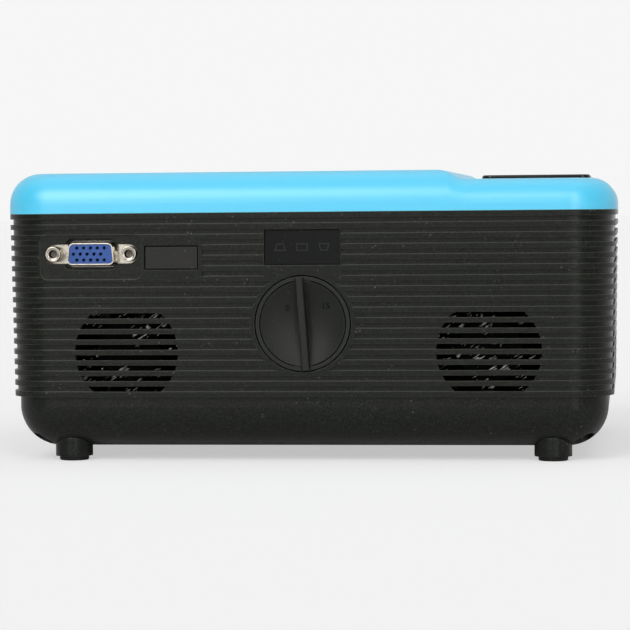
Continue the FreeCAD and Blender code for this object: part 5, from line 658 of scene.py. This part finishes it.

# the groove between the dial's rim and its bowl: a thin black ring laid on the dial's face, painted shade
# either side of the grip bar
GROOVE_RADIUS, GROOVE_WIDTH, GROOVE_LIFT = 13.9 * MM, 0.35 * MM, 0.02 * MM
GROOVE_STEPS = 128
GRIP_REACH = 2.1 * MM      # the grip bar covers the groove this far either side of its middle
bpy.ops.mesh.primitive_circle_add(
    vertices=GROOVE_STEPS, radius=GROOVE_RADIUS + GROOVE_WIDTH, fill_type="NGON",
    rotation=(math.radians(90), 0, 0), location=(dial_x, drawing_y, dial_z))
groove_shade = bpy.context.object
groove_shade.name = "dial_groove_shade"
bpy.ops.object.transform_apply(location=True, rotation=True, scale=True)
bpy.ops.object.mode_set(mode="EDIT")
bpy.ops.mesh.select_mode(type="FACE")
bpy.ops.mesh.select_all(action="SELECT")
bpy.ops.mesh.inset(thickness=GROOVE_WIDTH)
bpy.ops.mesh.delete(type="FACE")
bpy.ops.mesh.select_mode(type="VERT")
bpy.ops.mesh.select_all(action="DESELECT")
shape = bmesh.from_edit_mesh(groove_shade.data)
for vertex in shape.verts:
    vertex.select_set(abs(vertex.co.x - dial_x) < GRIP_REACH)
bmesh.update_edit_mesh(groove_shade.data)
bpy.ops.mesh.delete(type="VERT")
bpy.ops.object.mode_set(mode="OBJECT")
lay_on_dial(groove_shade, GROOVE_LIFT, GROOVE_LIFT)
groove_shade.data.materials.append(joint_and_shade_black)
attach(groove_shade, "keystone_knob")
groove_shade.select_set(False)

# ---------------------------------------------------------------- disc mechanism
# A grey chassis on four rubber dampers carries the spindle motor, the turntable, and the
# pickup with its rods, rack, gear and motor.
finish_node(grey, "loader_chassis", "pickup", "sled_gear")
finish_node(rubber, "loader_dampers")
finish_node(moulded("turntable_black", (0.012, 0.012, 0.012), (0.05, 0.05, 0.05), 0.4), "turntable")

# ---------------------------------------------------------------- disc deck
# The grey well under the lid, moulded in one piece and screwed up into the cover. The turntable
# and the pickup show through its floor.
finish_node(moulded("deck_grey", (0.045, 0.046, 0.050), (0.09, 0.09, 0.095), 0.45, depth=0.015),
            "disc_deck")

# ---------------------------------------------------------------- top cover, lid and latch
# Sky-blue ABS from a polished tool, waxed to a soft shine. The lid and its push button come
# from the same batch.
sky_blue = moulded("cover_blue", (0.085, 0.630, 0.925), (0.20, 0.76, 0.97), 0.33, depth=0.002, dusty=0.0,
                   drift_by=0.0, gloss_drift=0.01, speck=(0.4, 0.6, 0.7), rim_width=0.0005,
                   specular=0.9)
finish_node(sky_blue, "top_cover", "disc_lid", "lid_latch")

# ---------------------------------------------------------------- control strip and keys
# A glossy black strip on the lower deck, and seven satin keys that stand a hair above it. Each
# key has a plain pictogram in pale ink: a solid triangle, or the outline of a square or a ring.
finish_node(moulded("panel_gloss", (0.006, 0.006, 0.007), (0.02, 0.03, 0.035), 0.16, depth=0.0005,
                    coat=0.15, specular=0.35), "control_panel")
finish_node(moulded("key_satin", (0.03, 0.03, 0.035), (0.06, 0.06, 0.065), 0.35, depth=0.003),
            "key_power", "key_source", "key_ok", "key_up", "key_down", "key_left", "key_right")
pale_ink = moulded("pale_ink", (0.55, 0.56, 0.57), (0.6, 0.6, 0.6), 0.6, depth=0.001)
MARK_THICKNESS = 0.05 * MM
MARK_RADIUS = 1.5 * MM
MARK_LINE = 0.35 * MM
TRIANGLE, SQUARE, RING = 3, 4, 32          # the sides of each pictogram
FACES_UP = 0.9
KEY_MARKS = (("key_up", TRIANGLE, 90), ("key_down", TRIANGLE, -90), ("key_left", TRIANGLE, 180),
             ("key_right", TRIANGLE, 0), ("key_ok", RING, 0), ("key_source", SQUARE, 45),
             ("key_power", RING, 0))
for key, sides, turn in KEY_MARKS:
    key_low, key_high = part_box(key)
    centre = (key_low + key_high) / 2
    centre.z = key_high.z + MARK_THICKNESS / 2
    bpy.ops.mesh.primitive_cylinder_add(vertices=sides, radius=MARK_RADIUS, depth=MARK_THICKNESS,
                                        location=centre, rotation=(0, 0, math.radians(turn - 90)))
    mark = bpy.context.object
    mark.name = key.replace("key", "mark")
    bpy.ops.object.transform_apply(location=True, rotation=True, scale=True)
    if sides != TRIANGLE:
        bpy.ops.object.mode_set(mode="EDIT")
        bpy.ops.mesh.select_mode(type="FACE")
        bpy.ops.mesh.select_all(action="DESELECT")
        shape = bmesh.from_edit_mesh(mark.data)
        for flat in shape.faces:
            flat.select_set(abs(flat.normal.z) > FACES_UP)
        bmesh.update_edit_mesh(mark.data)
        bpy.ops.mesh.inset(thickness=MARK_LINE)
        bpy.ops.mesh.bridge_edge_loops()
        bpy.ops.mesh.select_all(action="SELECT")
        bpy.ops.mesh.normals_make_consistent(inside=False)
        bpy.ops.object.mode_set(mode="OBJECT")
    mark.data.materials.append(pale_ink)
    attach(mark, key)
    mark.select_set(False)
